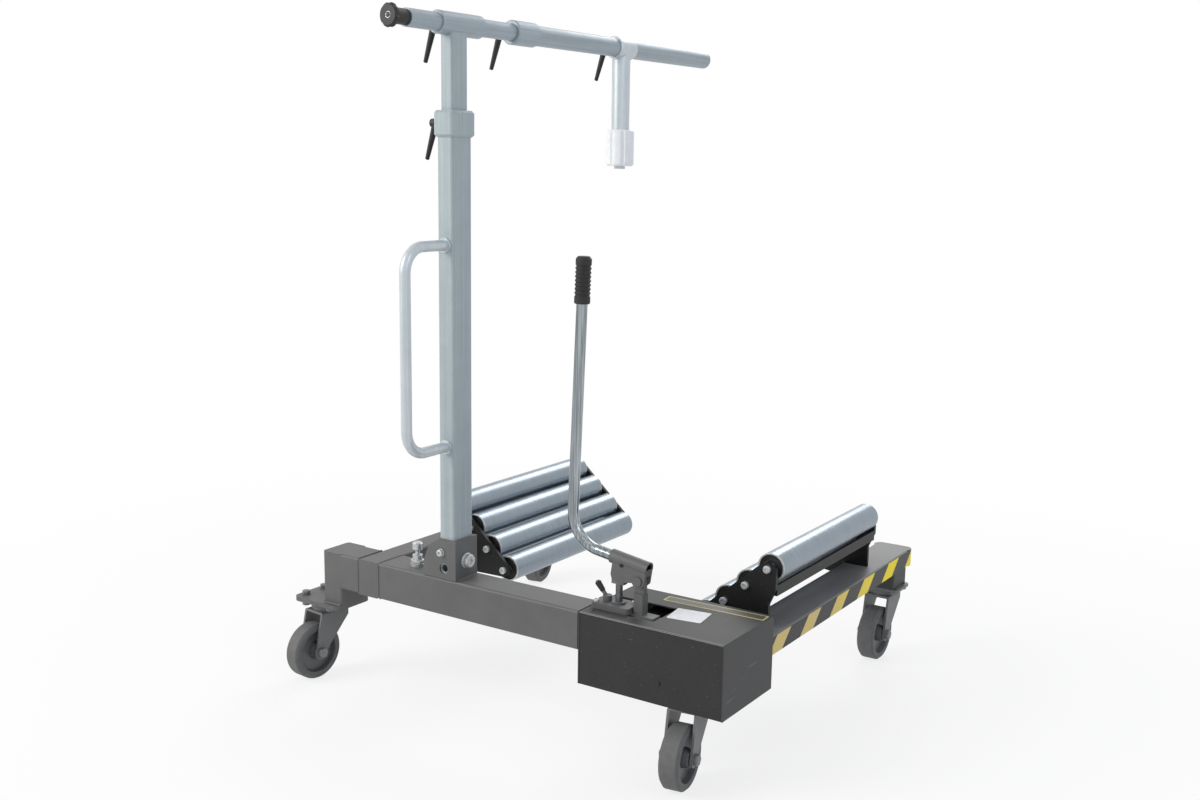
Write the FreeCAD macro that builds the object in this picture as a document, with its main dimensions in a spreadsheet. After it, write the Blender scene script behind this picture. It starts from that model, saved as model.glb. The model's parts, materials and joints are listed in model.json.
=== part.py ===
import FreeCAD, Part
import math
import operator
import os
from types import SimpleNamespace

import Sketcher
from FreeCAD import Placement, Rotation, Vector

# Hydraulic wheel dolly. The left half (front beam, left arm, mast) stands on two casters,
# the right half (pump, right arm) stands on two more and slides along the beam, so that
# two banks of rollers close under a tyre and lift it. All sizes are in millimetres.
# X runs to the right along the front beam, Y runs to the back, Z is up.
# The origin is on the floor, under the middle of the whole.

doc = FreeCAD.newDocument("WheelDolly")
sheet = doc.addObject("Spreadsheet::Sheet", "Sizes")

SIZES = [
    # Casters
    ("wheel_diameter", 125, "caster wheel over the tread"),
    ("wheel_width", 40, "width of the tread"),
    ("tread_chamfer", 5, "bevel of the tread shoulder"),
    ("tread_depth", 15, "radial depth of tread and rim"),
    ("wheel_web", 16, "thickness of the wheel's web"),
    ("wheel_hub_diameter", 34, "outside of the hub"),
    ("wheel_hub_length", 46, "hub over its faces"),
    ("wheel_axle_diameter", 12, "axle bolt of a caster wheel"),
    ("axle_head_diameter", 20, "head and nut of the axle bolt"),
    ("axle_head_height", 8, "head and nut of the axle bolt"),
    ("fork_headroom", 22.7, "wheel top to the fork crown"),
    ("caster_trail", 42, "swivel axis to wheel axle"),
    ("caster_plate_width", 100, "along X"),
    ("caster_plate_depth", 80, "along Y"),
    ("caster_plate_thickness", 6, "pressed plate"),
    ("caster_plate_corner", 10, "corner radius"),
    ("caster_bolt_width", 74, "bolt pattern along X"),
    ("caster_bolt_depth", 56, "bolt pattern along Y"),
    ("caster_bolt_hole", 11, "clearance hole for M10"),
    ("race_diameter", 70, "ball race under the plate"),
    ("race_height", 13, "ball race under the plate"),
    ("king_pin_diameter", 16, "swivel pin"),
    ("king_nut_diameter", 28, "nut under the fork crown"),
    ("king_nut_height", 8, "nut under the fork crown"),
    ("fork_gap", 50, "clear width between the fork cheeks"),
    ("fork_sheet", 5, "sheet of the fork"),
    ("fork_head_front", 38, "crown from the swivel axis towards the wheel"),
    ("fork_head_back", 36, "crown from the swivel axis away from the wheel"),
    ("fork_skirt", 18, "depth of the skirt behind the crown"),
    ("fork_eye_diameter", 32, "boss round the axle"),
    ("front_left_angle", -6, "swivel angle shown, degrees"),
    ("front_right_angle", 8, "swivel angle shown, degrees"),
    ("rear_left_angle", 192, "swivel angle shown, degrees"),
    ("running_gap", 0.05, "radial clearance of a turning fit"),
    ("face_gap", 0.3, "clearance between faces that turn or slide past each other"),
    # Frame
    ("frame_rise", 128, "caster plate to the top of beam, left arm and cover"),
    ("front_face", -434, "front of beam, left arm and cover"),
    ("beam_size", 80, "square outer tube"),
    ("beam_wall", 4, "wall of the frame tubes"),
    ("beam_corner", 6, "outer corner radius of the frame tubes"),
    ("beam_length", 520, "outer tube"),
    ("slide_gap", 0.4, "inner beam to outer beam, each side"),
    ("inner_beam_stop", 14, "left arm to the end of the inner beam"),
    ("left_arm_face", -296, "right face of the left arm"),
    ("left_arm_width", 60, "along X"),
    ("left_arm_length", 858, "along Y"),
    ("stub_length", 50, "left arm to foot post"),
    ("foot_post_width", 55, "along X"),
    ("foot_pad_thickness", 10, "plate under the post"),
    ("foot_pad_depth", 104, "along Y"),
    ("foot_pad_corner", 16, "corner radius of the pad"),
    ("foot_pad_overhang", 54, "swivel axis to the outer edge of the pad"),
    ("foot_swivel_offset", 31, "outer face of the post to the swivel axis"),
    ("right_arm_inset", 52, "right side of the cover to the middle of the right arm"),
    ("right_arm_width", 90, "along X"),
    ("right_arm_height", 40, "along Z"),
    ("spacer_height", 41, "caster plate to the underside of the right arm"),
    ("right_arm_length", 958, "along Y"),
    ("right_arm_setback", 7, "cover front to the front end of the right arm"),
    ("right_arm_nose", 16, "corner radius of the rear end in plan"),
    ("rear_swivel_inset", 65, "rear end of the right arm to the swivel axis"),
    ("front_swivel_inset", 94, "right side of the cover to the caster under the pump"),
    ("front_swivel_setback", 45, "cover front to that axis"),
    ("spacer_size", 80, "square spacer between frame and caster"),
    # Cover and base
    ("cover_gap", 2, "end of the beam to the cover"),
    ("cover_width", 320, "along X"),
    ("cover_depth", 200, "along Y"),
    ("cover_skirt", 60, "underside of the right arm to the cover's lower edge"),
    ("cover_sheet", 2.5, "sheet thickness"),
    ("cover_bend", 2.4, "outside bend radius of the sheet"),
    ("cover_hole_gap", 1.5, "clearance of the wall cut-outs"),
    ("panel_inset", 1, "front panel behind the cover's front edge"),
    ("hatch_inset", 21, "left side of the cover to the hatch in the top"),
    ("hatch_width", 129, "along X"),
    ("hatch_front", 10, "cover front to hatch"),
    ("hatch_depth", 115, "along Y"),
    ("base_inset", 61, "left side of the cover to the base plate"),
    ("base_thickness", 8, "base plate"),
    ("base_setback", 7, "cover front to the base plate"),
    ("saddle_depth", 60, "along Y"),
    # Pump
    ("block_inset", 31, "left side of the cover to the pump block"),
    ("block_width", 110, "along X"),
    ("pump_offset", 18, "pump behind the middle of the beam"),
    ("block_depth", 26, "along Y"),
    ("block_gap", 2, "pump block to the cut-out in the inner beam"),
    ("head_overhang", 25, "pump head left of the block"),
    ("head_width", 85, "along X"),
    ("head_depth", 50, "along Y"),
    ("head_height", 12, "above the block"),
    ("gland_diameter", 28, "gland nut round the piston"),
    ("gland_height", 4, "above the head"),
    ("pivot_inset", 74, "left face of the block to the lever pivot"),
    ("pivot_height", 68, "lever pivot above the pump block"),
    ("pivot_pin_diameter", 12, "pin through post and socket"),
    ("post_width", 20, "along X"),
    ("post_depth", 20, "along Y"),
    ("post_shoulder", 26, "pivot down to the shoulder of the post"),
    ("tongue_thickness", 13, "tongues of post and piston"),
    ("tongue_gap", 0.5, "tongue to cheek, each side"),
    ("pump_arm", 49, "pivot to piston pin along the socket"),
    ("pump_drop", 6, "piston pin below the pivot, square to the socket"),
    ("piston_diameter", 14, "piston rod"),
    ("piston_bottom", 32, "piston end below the top of the block"),
    ("piston_bore_depth", 62, "bore below the top of the block"),
    ("piston_pin_diameter", 10, "pin in the socket"),
    ("piston_tongue_width", 28, "along X"),
    ("piston_tongue_above", 12, "above the pin"),
    ("piston_tongue_below", 18, "below the pin"),
    ("piston_slot_play", 4.2, "slot to pin, sideways"),
    ("piston_slot_lift", 0.7, "slot to pin, up and down"),
    ("socket_angle", 8.6, "tilt of the socket shown, degrees"),
    ("socket_rise", 26, "pivot to the axis of the socket"),
    ("socket_outer", 28, "tube of the socket"),
    ("socket_left", 71, "pivot to the left end"),
    ("socket_right", 14, "pivot to the right end"),
    ("cheek_thickness", 5.5, "each cheek"),
    ("cheek_eye", 26, "width of the eye round the pivot"),
    ("lever_diameter", 22, "lever tube"),
    ("lever_wall", 3, "lever tube"),
    ("lever_fit", 0.1, "lever in the socket, radial"),
    ("lever_insert", 12, "lever end right of the pivot"),
    ("lever_reach", 168, "pivot to the corner of the lever"),
    ("lever_bend", 70, "bend radius on the axis"),
    ("lever_lean", 6.5, "upright part from square to the socket, degrees"),
    ("lever_upright", 556, "corner to the tip"),
    ("grip_length", 90, "rubber grip"),
    ("grip_diameter", 31, "over the ribs"),
    ("grip_groove", 1.5, "depth of the grooves"),
    ("grip_end", 4, "closed end of the grip"),
    ("valve_inset", 23, "left end of the head to the release valve"),
    ("valve_spindle", 10, "diameter"),
    ("valve_depth", 11, "spindle in the head"),
    ("valve_hub", 18, "diameter"),
    ("valve_hub_height", 11, "hub over the head"),
    ("valve_handle", 8, "diameter"),
    ("valve_handle_length", 34, "along its axis"),
    ("valve_handle_angle", 40, "from upright, degrees"),
    ("valve_knob", 12, "ball at the end"),
    ("tank_inset", 7, "left edge of the base plate to the oil tank"),
    ("tank_width", 76, "along X"),
    ("tank_height", 62, "above the base plate"),
    ("tank_gap", 5, "inner beam to tank"),
    ("tank_back_gap", 4, "tank to the back of the cover"),
    ("nipple_diameter", 16, "pipe from tank to pump"),
    ("nipple_height", 42, "above the base plate"),
    # Ram in the beam
    ("ram_outer", 50, "cylinder outside"),
    ("ram_bore", 40, "cylinder bore"),
    ("ram_clearance", 58, "left arm to the gland end of the cylinder"),
    ("ram_gland", 30, "length of the gland"),
    ("ram_cap", 20, "thickness of the closed end"),
    ("ram_rod_diameter", 22, "rod"),
    ("ram_piston_length", 25, "piston"),
    ("ram_piston_stop", 5, "piston to the closed end"),
    ("ram_flange_diameter", 60, "rod flange"),
    ("ram_flange_thickness", 8, "rod flange"),
    # Roller banks
    ("roller_diameter", 58, "outside"),
    ("roller_wall", 3, "tube of the roller"),
    ("roller_length", 478, "along Y"),
    ("roller_setback", 65, "back of the cover to the front end of the rollers"),
    ("roller_pitch", 62.5, "axle to axle"),
    ("roller_disc", 10, "bearing disc in each end"),
    ("roller_inset", 5, "disc behind the end of the tube"),
    ("roller_axle_diameter", 12, "fixed axle"),
    ("roller_head_diameter", 15, "head and nut of an axle"),
    ("roller_head_height", 5, "head and nut of an axle"),
    ("roller_side_gap", 8, "roller to end plate"),
    ("bank_angle", 41.3, "slope of each bank, degrees"),
    ("bank_rise", 73, "frame top to the top axle"),
    ("left_bank_offset", 6, "left arm to the top axle of the left bank"),
    ("right_bank_offset", 10, "middle of the right arm to the top axle"),
    ("bank_plate", 8, "thickness of the end plates"),
    ("bank_margin", 16, "axle line to the upper edge of a plate"),
    ("bank_edge", 19, "top axle to the outer edge of a plate"),
    ("bank_toe", 16, "lowest axle to the lower edge of a plate"),
    ("bank_waist", 40, "top axle down to the end of the outer edge"),
    ("bank_heel", 5, "top axle to the outer end of the right foot"),
    ("strip_thickness", 6, "tie strip, along X"),
    ("strip_height", 22, "tie strip, along Z"),
    ("strip_drop", 32, "top axle down to the strip"),
    # Mast
    ("mast_inset", 189, "left arm to the axis of the mast and of the cross bar"),
    ("mast_width", 40, "outer tube along X"),
    ("mast_depth", 60, "outer tube along Y"),
    ("mast_wall", 3, "both mast tubes"),
    ("mast_corner", 6, "outer corner radius"),
    ("mast_length", 912, "outer tube above the beam"),
    ("mast_inner_width", 30, "inner tube along X"),
    ("mast_inner_depth", 48, "inner tube along Y"),
    ("mast_overlap", 362, "inner tube inside the outer tube"),
    ("mast_fit", 0.4, "inner tube to collar, each side"),
    ("collar_wall", 6, "collar round the outer tube"),
    ("collar_lap", 14, "collar over the top of the outer tube"),
    ("collar_height", 52, "along Z"),
    ("collar_chamfer", 5, "bevel of both ends"),
    ("collar_screw_drop", 24, "collar top down to the clamp screw"),
    ("bracket_plate", 4, "gussets"),
    ("bracket_side", 6, "side plate"),
    ("bracket_height", 85, "above the beam"),
    ("bracket_foot", 42, "mast to the left end of the gussets"),
    ("bracket_side_back", 2, "side plate behind the rear gusset"),
    ("bracket_hole", 22, "round hole in the front gusset"),
    ("bracket_hole_offset", 6, "left of the mast axis"),
    ("bracket_hole_height", 22, "above the beam"),
    ("front_bolt_diameter", 8, "bolt through the front gusset"),
    ("front_bolt_offset", 12, "left of the mast axis"),
    ("front_bolt_height", 56, "above the beam"),
    ("side_bolt_diameter", 16, "bolt through the side plate"),
    ("side_bolt_height", 38, "above the beam"),
    ("bolt_length", 22, "shank of both bolts"),
    ("bolt_fit", 0.1, "bolt in its hole, radial"),
    ("handle_diameter", 22, "U handle"),
    ("handle_wall", 2.5, "U handle"),
    ("handle_span", 408, "upper leg to lower leg"),
    ("handle_below", 224, "top of the outer tube down to the upper leg"),
    ("handle_reach", 119, "mast face to the grip's axis"),
    ("handle_bend", 50, "bend radius on the axis"),
    ("handle_ring", 30, "weld ring at each leg"),
    ("handle_ring_length", 4, "weld ring at each leg"),
    ("plunger_inset", 77, "left arm to the index plunger"),
    ("plunger_pin", 10, "pin diameter"),
    ("plunger_base", 30, "flange of the body"),
    ("plunger_base_height", 6, "flange of the body"),
    ("plunger_neck", 22, "neck of the body"),
    ("plunger_body_height", 24, "body above the beam"),
    ("plunger_knob", 22, "knob"),
    ("plunger_knob_height", 18, "knob"),
    ("plunger_travel", 10, "pin into the inner beam"),
    # Cross bar
    ("bar_rise", 164, "collar to the axis of the cross bar"),
    ("bar_diameter", 42, "outer bar tube, the far one"),
    ("bar_wall", 3, "both bar tubes"),
    ("bar_fit", 0.4, "tube in sleeve, radial"),
    ("bar_lead", 87, "inner bar tube in front of the tee sleeve"),
    ("bar_collar_gap", 105, "tee sleeve to the collar of the outer tube"),
    ("sleeve_chamfer", 2.5, "bevel of both ends of a sleeve"),
    ("tee_diameter", 45, "tee sleeve on the mast"),
    ("tee_lead", 53, "axis of the mast to the front end of the tee sleeve"),
    ("tee_length", 129, "tee sleeve"),
    ("tee_screw_setback", 46, "front end of the tee sleeve to its clamp screw"),
    ("bar_collar_diameter", 50, "collar on the end of the outer tube"),
    ("bar_collar_seat", 48, "front end of the collar to the outer tube in it"),
    ("bar_collar_length", 75, "collar"),
    ("bar_screw_setback", 24, "front end of the collar to its clamp screw"),
    ("bar_insert", 260, "inner tube behind the front end of the collar"),
    ("bar_reach", 726, "outer tube behind the collar"),
    ("plug_thickness", 6, "end plug"),
    ("plug_insert", 20, "end plug inside the tube"),
    ("knob_diameter", 45, "end knob"),
    ("knob_thickness", 12, "end knob"),
    ("knob_hub", 30, "hub of the end knob"),
    ("knob_hub_length", 36, "hub of the end knob"),
    ("knob_bore", 13, "hole through the knob"),
    ("knob_flutes", 8, "number of finger flutes"),
    ("knob_flute", 12, "diameter of a finger flute"),
    ("hanger_reach", 345, "collar to the hanger"),
    ("hanger_length", 68, "hanger sleeve"),
    ("hanger_diameter", 50, "hanger sleeve"),
    ("hanger_tube", 42, "hanger tube"),
    ("hanger_tube_wall", 3, "hanger tube"),
    ("hanger_drop", 184, "axis of the bar to the lower end of the hanger tube"),
    ("hanger_floor", 10, "closed end of the hanger tube"),
    ("spindle_diameter", 20, "spindle of the guide sleeve"),
    ("guide_diameter", 66, "guide sleeve"),
    ("guide_length", 84, "guide sleeve"),
    ("guide_chamfer", 5, "guide sleeve"),
    ("guide_flutes", 8, "number of flutes"),
    ("guide_flute", 14, "diameter of a flute"),
    ("guide_flute_depth", 3, "depth of a flute"),
    ("guide_bolt_diameter", 26, "bolt and washer under the guide sleeve"),
    ("guide_bolt_height", 6, "bolt and washer under the guide sleeve"),
    # Clamp levers
    ("boss_diameter", 20, "boss for a clamp screw"),
    ("boss_height", 6, "boss for a clamp screw"),
    ("clamp_screw", 10, "clamp screw"),
    ("clamp_hub", 20, "hub of a clamp lever"),
    ("clamp_hub_length", 26, "hub of a clamp lever"),
    ("clamp_handle_length", 76, "handle of a clamp lever"),
    ("clamp_handle_top", 14, "diameter at the hub"),
    ("clamp_handle_tip", 9, "diameter at the tip"),
    ("clamp_handle_angle", 18, "handle away from the bar, degrees"),
]

for row, (alias, value, note) in enumerate(SIZES, start=1):
    sheet.set(f"A{row}", alias)
    sheet.set(f"B{row}", str(value))
    sheet.setAlias(f"B{row}", alias)
    sheet.set(f"C{row}", note)
doc.recompute()


class Size:
    """A number together with the sheet expression that gives it."""

    def __init__(self, value, text):
        self.value = value
        self.text = text

    def __add__(self, other):
        return joined(self, "+", other)

    def __radd__(self, other):
        return joined(other, "+", self)

    def __sub__(self, other):
        return joined(self, "-", other)

    def __rsub__(self, other):
        return joined(other, "-", self)

    def __mul__(self, other):
        return joined(self, "*", other)

    def __rmul__(self, other):
        return joined(other, "*", self)

    def __truediv__(self, other):
        return joined(self, "/", other)

    def __neg__(self):
        return joined(0, "-", self)


SIGNS = {"+": operator.add, "-": operator.sub, "*": operator.mul, "/": operator.truediv}


def sized(item):
    if isinstance(item, Size):
        return item
    return Size(float(item), repr(float(item)))


def joined(left, sign, right):
    left = sized(left)
    right = sized(right)
    return Size(SIGNS[sign](left.value, right.value), f"({left.text} {sign} {right.text})")


def cosine(angle):
    return Size(math.cos(math.radians(angle.value)), f"cos({angle.text} * 1 deg)")


def sine(angle):
    return Size(math.sin(math.radians(angle.value)), f"sin({angle.text} * 1 deg)")


def tangent(angle):
    return Size(math.tan(math.radians(angle.value)), f"tan({angle.text} * 1 deg)")


s = SimpleNamespace(**{row[0]: Size(float(sheet.get(row[0])), f"Sizes.{row[0]}") for row in SIZES})


# Bodies, sketches and features

def new_body(label):
    body = doc.addObject("PartDesign::Body", label)
    body.Label = label
    return body


def put(item, x=0, y=0, z=0):
    """Place an object at a point whose coordinates come from the sheet."""
    for axis, amount in zip("xyz", (x, y, z)):
        amount = sized(amount)
        setattr(item.Placement.Base, axis, amount.value)
        item.setExpression(f"Placement.Base.{axis}", amount.text)
    return item


def new_sketch(body, plane, level):
    """A sketch on one of the body's origin planes, at a level along that plane's world axis."""
    sketch = body.newObject("Sketcher::SketchObject", "Sketch")
    support = [item for item in body.Origin.OriginFeatures if item.Role == plane][0]
    sketch.AttachmentSupport = [(support, "")]
    sketch.MapMode = "FlatFace"
    offset = -sized(level) if plane == "XZ_Plane" else sized(level)
    sketch.AttachmentOffset = Placement(Vector(0, 0, offset.value), Rotation())
    sketch.setExpression("AttachmentOffset.Base.z", offset.text)
    return sketch


def drive(sketch, constraint, size):
    index = sketch.addConstraint(constraint)
    sketch.setExpression(f"Constraints[{index}]", size.text)


def fix_point(sketch, geometry, position, x, y):
    drive(sketch, Sketcher.Constraint("DistanceX", -1, 1, geometry, position, x.value), x)
    drive(sketch, Sketcher.Constraint("DistanceY", -1, 1, geometry, position, y.value), y)


def polygon(sketch, points):
    points = [(sized(x), sized(y)) for x, y in points]
    lines = []
    for (x0, y0), (x1, y1) in zip(points, points[1:] + points[:1]):
        start = Vector(x0.value, y0.value, 0)
        end = Vector(x1.value, y1.value, 0)
        lines.append(sketch.addGeometry(Part.LineSegment(start, end)))
    for line, following in zip(lines, lines[1:] + lines[:1]):
        sketch.addConstraint(Sketcher.Constraint("Coincident", line, 2, following, 1))
    for line, (x, y) in zip(lines, points):
        fix_point(sketch, line, 1, x, y)


def rectangle(sketch, x0, y0, x1, y1):
    polygon(sketch, [(x0, y0), (x1, y0), (x1, y1), (x0, y1)])


def circle(sketch, x, y, radius):
    x, y, radius = sized(x), sized(y), sized(radius)
    ring = sketch.addGeometry(Part.Circle(Vector(x.value, y.value, 0), Vector(0, 0, 1), radius.value))
    fix_point(sketch, ring, 3, x, y)
    drive(sketch, Sketcher.Constraint("Radius", ring, radius.value), radius)


def rounded(sketch, x0, y0, x1, y1, radius):
    """A rectangle with round corners: four lines joined by four arcs."""
    x0, y0, x1, y1, radius = [sized(item) for item in (x0, y0, x1, y1, radius)]
    ends = [
        ((x0 + radius, y0), (x1 - radius, y0)),
        ((x1, y0 + radius), (x1, y1 - radius)),
        ((x1 - radius, y1), (x0 + radius, y1)),
        ((x0, y1 - radius), (x0, y0 + radius)),
    ]
    middles = [(x1 - radius, y0 + radius), (x1 - radius, y1 - radius),
               (x0 + radius, y1 - radius), (x0 + radius, y0 + radius)]
    lines = []
    for start, end in ends:
        first = Vector(start[0].value, start[1].value, 0)
        last = Vector(end[0].value, end[1].value, 0)
        line = sketch.addGeometry(Part.LineSegment(first, last))
        fix_point(sketch, line, 1, *start)
        fix_point(sketch, line, 2, *end)
        lines.append(line)
    for corner, (x, y) in enumerate(middles):
        ring = Part.Circle(Vector(x.value, y.value, 0), Vector(0, 0, 1), radius.value)
        begin = math.radians(90 * corner - 90)
        arc = sketch.addGeometry(Part.ArcOfCircle(ring, begin, begin + math.pi / 2))
        sketch.addConstraint(Sketcher.Constraint("Coincident", arc, 1, lines[corner], 2))
        sketch.addConstraint(Sketcher.Constraint("Coincident", arc, 2, lines[(corner + 1) % 4], 1))
        drive(sketch, Sketcher.Constraint("Radius", arc, radius.value), radius)


def extrude(kind, body, plane, start, length, draw):
    start, length = sized(start), sized(length)
    along_normal = kind == "PartDesign::Pad"
    at_start = along_normal != (plane == "XZ_Plane")
    sketch = new_sketch(body, plane, start if at_start else start + length)
    draw(sketch)
    feature = body.newObject(kind, kind.split("::")[1])
    feature.Profile = sketch
    feature.Length = length.value
    feature.setExpression("Length", length.text)
    return feature


def add(body, plane, start, length, draw):
    """Extrude a profile from a level over a length, along the plane's world axis."""
    return extrude("PartDesign::Pad", body, plane, start, length, draw)


def cut(body, plane, start, length, draw):
    """Cut a profile from a level over a length, along the plane's world axis."""
    doc.recompute()
    before = body.Shape.Volume
    feature = extrude("PartDesign::Pocket", body, plane, start, length, draw)
    doc.recompute()
    if not body.Shape.Volume < before - 1e-6:
        raise RuntimeError(f"a cut in {body.Label} removed nothing")
    return feature


def turn(body, plane, axis, points):
    """Revolve a closed polygon about one of its sketch axes."""
    sketch = new_sketch(body, plane, 0)
    polygon(sketch, points)
    feature = body.newObject("PartDesign::Revolution", "Revolution")
    feature.Profile = sketch
    feature.ReferenceAxis = (sketch, [axis])
    feature.Angle = 360
    return feature


def break_edges(body, kind, size, chosen):
    """Fillet or chamfer the edges of a body that a test picks by their bounding box."""
    doc.recompute()
    base = body.Tip
    edges = enumerate(base.Shape.Edges, start=1)
    names = [f"Edge{number}" for number, edge in edges if chosen(edge.BoundBox)]
    if not names:
        raise RuntimeError(f"no edge to break in {body.Label}")
    feature = body.newObject(f"PartDesign::{kind}", kind)
    feature.Base = (base, names)
    name = "Radius" if kind == "Fillet" else "Size"
    setattr(feature, name, size.value)
    feature.setExpression(name, size.text)
    return feature


def near(first, second):
    return abs(first - sized(second).value) < 0.01


def repeat_round(body, feature, count):
    """Repeat a feature round the normal of its sketch."""
    pattern = body.newObject("PartDesign::PolarPattern", "PolarPattern")
    pattern.Originals = [feature]
    pattern.Axis = (feature.Profile[0], ["N_Axis"])
    pattern.Angle = 360
    pattern.Occurrences = int(count.value)
    pattern.setExpression("Occurrences", count.text)
    body.Tip = pattern
    return pattern


def pipe(body, profile, spine):
    feature = body.newObject("PartDesign::AdditivePipe", "AdditivePipe")
    feature.Profile = profile
    feature.Spine = (spine, [f"Edge{number}" for number in range(1, spine.GeometryCount + 1)])
    return feature


def group(label, items):
    """Separate solids that share one node."""
    compound = doc.addObject("Part::Compound", label)
    compound.Label = label
    compound.Links = items
    return compound


def square_tube(sketch, x0, y0, x1, y1, corner, wall):
    rounded(sketch, x0, y0, x1, y1, corner)
    rounded(sketch, x0 + wall, y0 + wall, x1 - wall, y1 - wall, corner - wall)


def ring(sketch, x, y, outer, inner):
    circle(sketch, x, y, outer)
    circle(sketch, x, y, inner)


# Places that several pieces share

caster_height = (s.wheel_diameter + s.fork_headroom + s.fork_sheet + s.face_gap + s.race_height
                 + s.caster_plate_thickness)
frame_top = caster_height + s.frame_rise
beam_y = s.front_face + s.beam_size / 2
pump_y = beam_y + s.pump_offset
beam_bottom = frame_top - s.beam_size
beam_middle = frame_top - s.beam_size / 2
beam_right = s.left_arm_face + s.beam_length
inner_beam_left = s.left_arm_face + s.inner_beam_stop
inner_beam_half = s.beam_size / 2 - s.beam_wall - s.slide_gap
inner_beam_floor = beam_middle - inner_beam_half + s.beam_wall
wheel_radius = s.wheel_diameter / 2
left_arm_left = s.left_arm_face - s.left_arm_width
left_arm_back = s.front_face + s.left_arm_length
foot_post_right = left_arm_left - s.stub_length
foot_post_left = foot_post_right - s.foot_post_width
left_swivel_x = foot_post_left - s.foot_swivel_offset
rear_foot_y = left_arm_back - s.beam_size / 2
cover_left = beam_right + s.cover_gap
cover_right = cover_left + s.cover_width
cover_back = s.front_face + s.cover_depth
right_arm_middle = cover_right - s.right_arm_inset
right_arm_left = right_arm_middle - s.right_arm_width / 2
right_arm_right = right_arm_middle + s.right_arm_width / 2
right_arm_bottom = caster_height + s.spacer_height
right_arm_top = right_arm_bottom + s.right_arm_height
right_arm_front = s.front_face + s.right_arm_setback
right_arm_end = right_arm_front + s.right_arm_length
cover_bottom = right_arm_bottom - s.cover_skirt
rear_swivel_y = right_arm_end - s.rear_swivel_inset
front_swivel_x = cover_right - s.front_swivel_inset
front_swivel_y = s.front_face + s.front_swivel_setback
hatch_left = cover_left + s.hatch_inset
base_left = cover_left + s.base_inset
tank_left = base_left + s.tank_inset
block_left = cover_left + s.block_inset
head_left = block_left - s.head_overhang
pivot_x = block_left + s.pivot_inset
valve_x = head_left + s.valve_inset
ram_length = block_left - s.left_arm_face - s.ram_clearance
roller_front = cover_back + s.roller_setback
left_bank_x = s.left_arm_face + s.left_bank_offset
right_bank_x = right_arm_middle + s.right_bank_offset
bank_top = frame_top + s.bank_rise
plunger_x = s.left_arm_face + s.plunger_inset
mast_x = s.left_arm_face + s.mast_inset
mast_y = s.front_face + s.bracket_plate + s.mast_depth / 2
mast_front = mast_y - s.mast_depth / 2
mast_back = mast_y + s.mast_depth / 2
mast_left = mast_x - s.mast_width / 2
mast_right = mast_x + s.mast_width / 2
mast_top = frame_top + s.mast_length
mast_inner_bottom = mast_top - s.mast_overlap
collar_bottom = mast_top - s.collar_lap
collar_top = collar_bottom + s.collar_height
handle_high = mast_top - s.handle_below
handle_low = handle_high - s.handle_span
bar_height = collar_top + s.bar_rise
tee_front = mast_y - s.tee_lead
bar_front = tee_front - s.bar_lead
bar_collar_front = tee_front + s.tee_length + s.bar_collar_gap
bar_collar_back = bar_collar_front + s.bar_collar_length
inner_bar_back = bar_collar_front + s.bar_insert
outer_bar_front = bar_collar_front + s.bar_collar_seat
outer_bar_back = bar_collar_back + s.bar_reach
outer_bar_radius = s.bar_diameter / 2
inner_bar_radius = outer_bar_radius - s.bar_wall - s.bar_fit
inner_bore = inner_bar_radius + s.bar_fit
hanger_y = bar_collar_back + s.hanger_reach
hanger_bottom = bar_height - s.hanger_drop


# Casters

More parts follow.
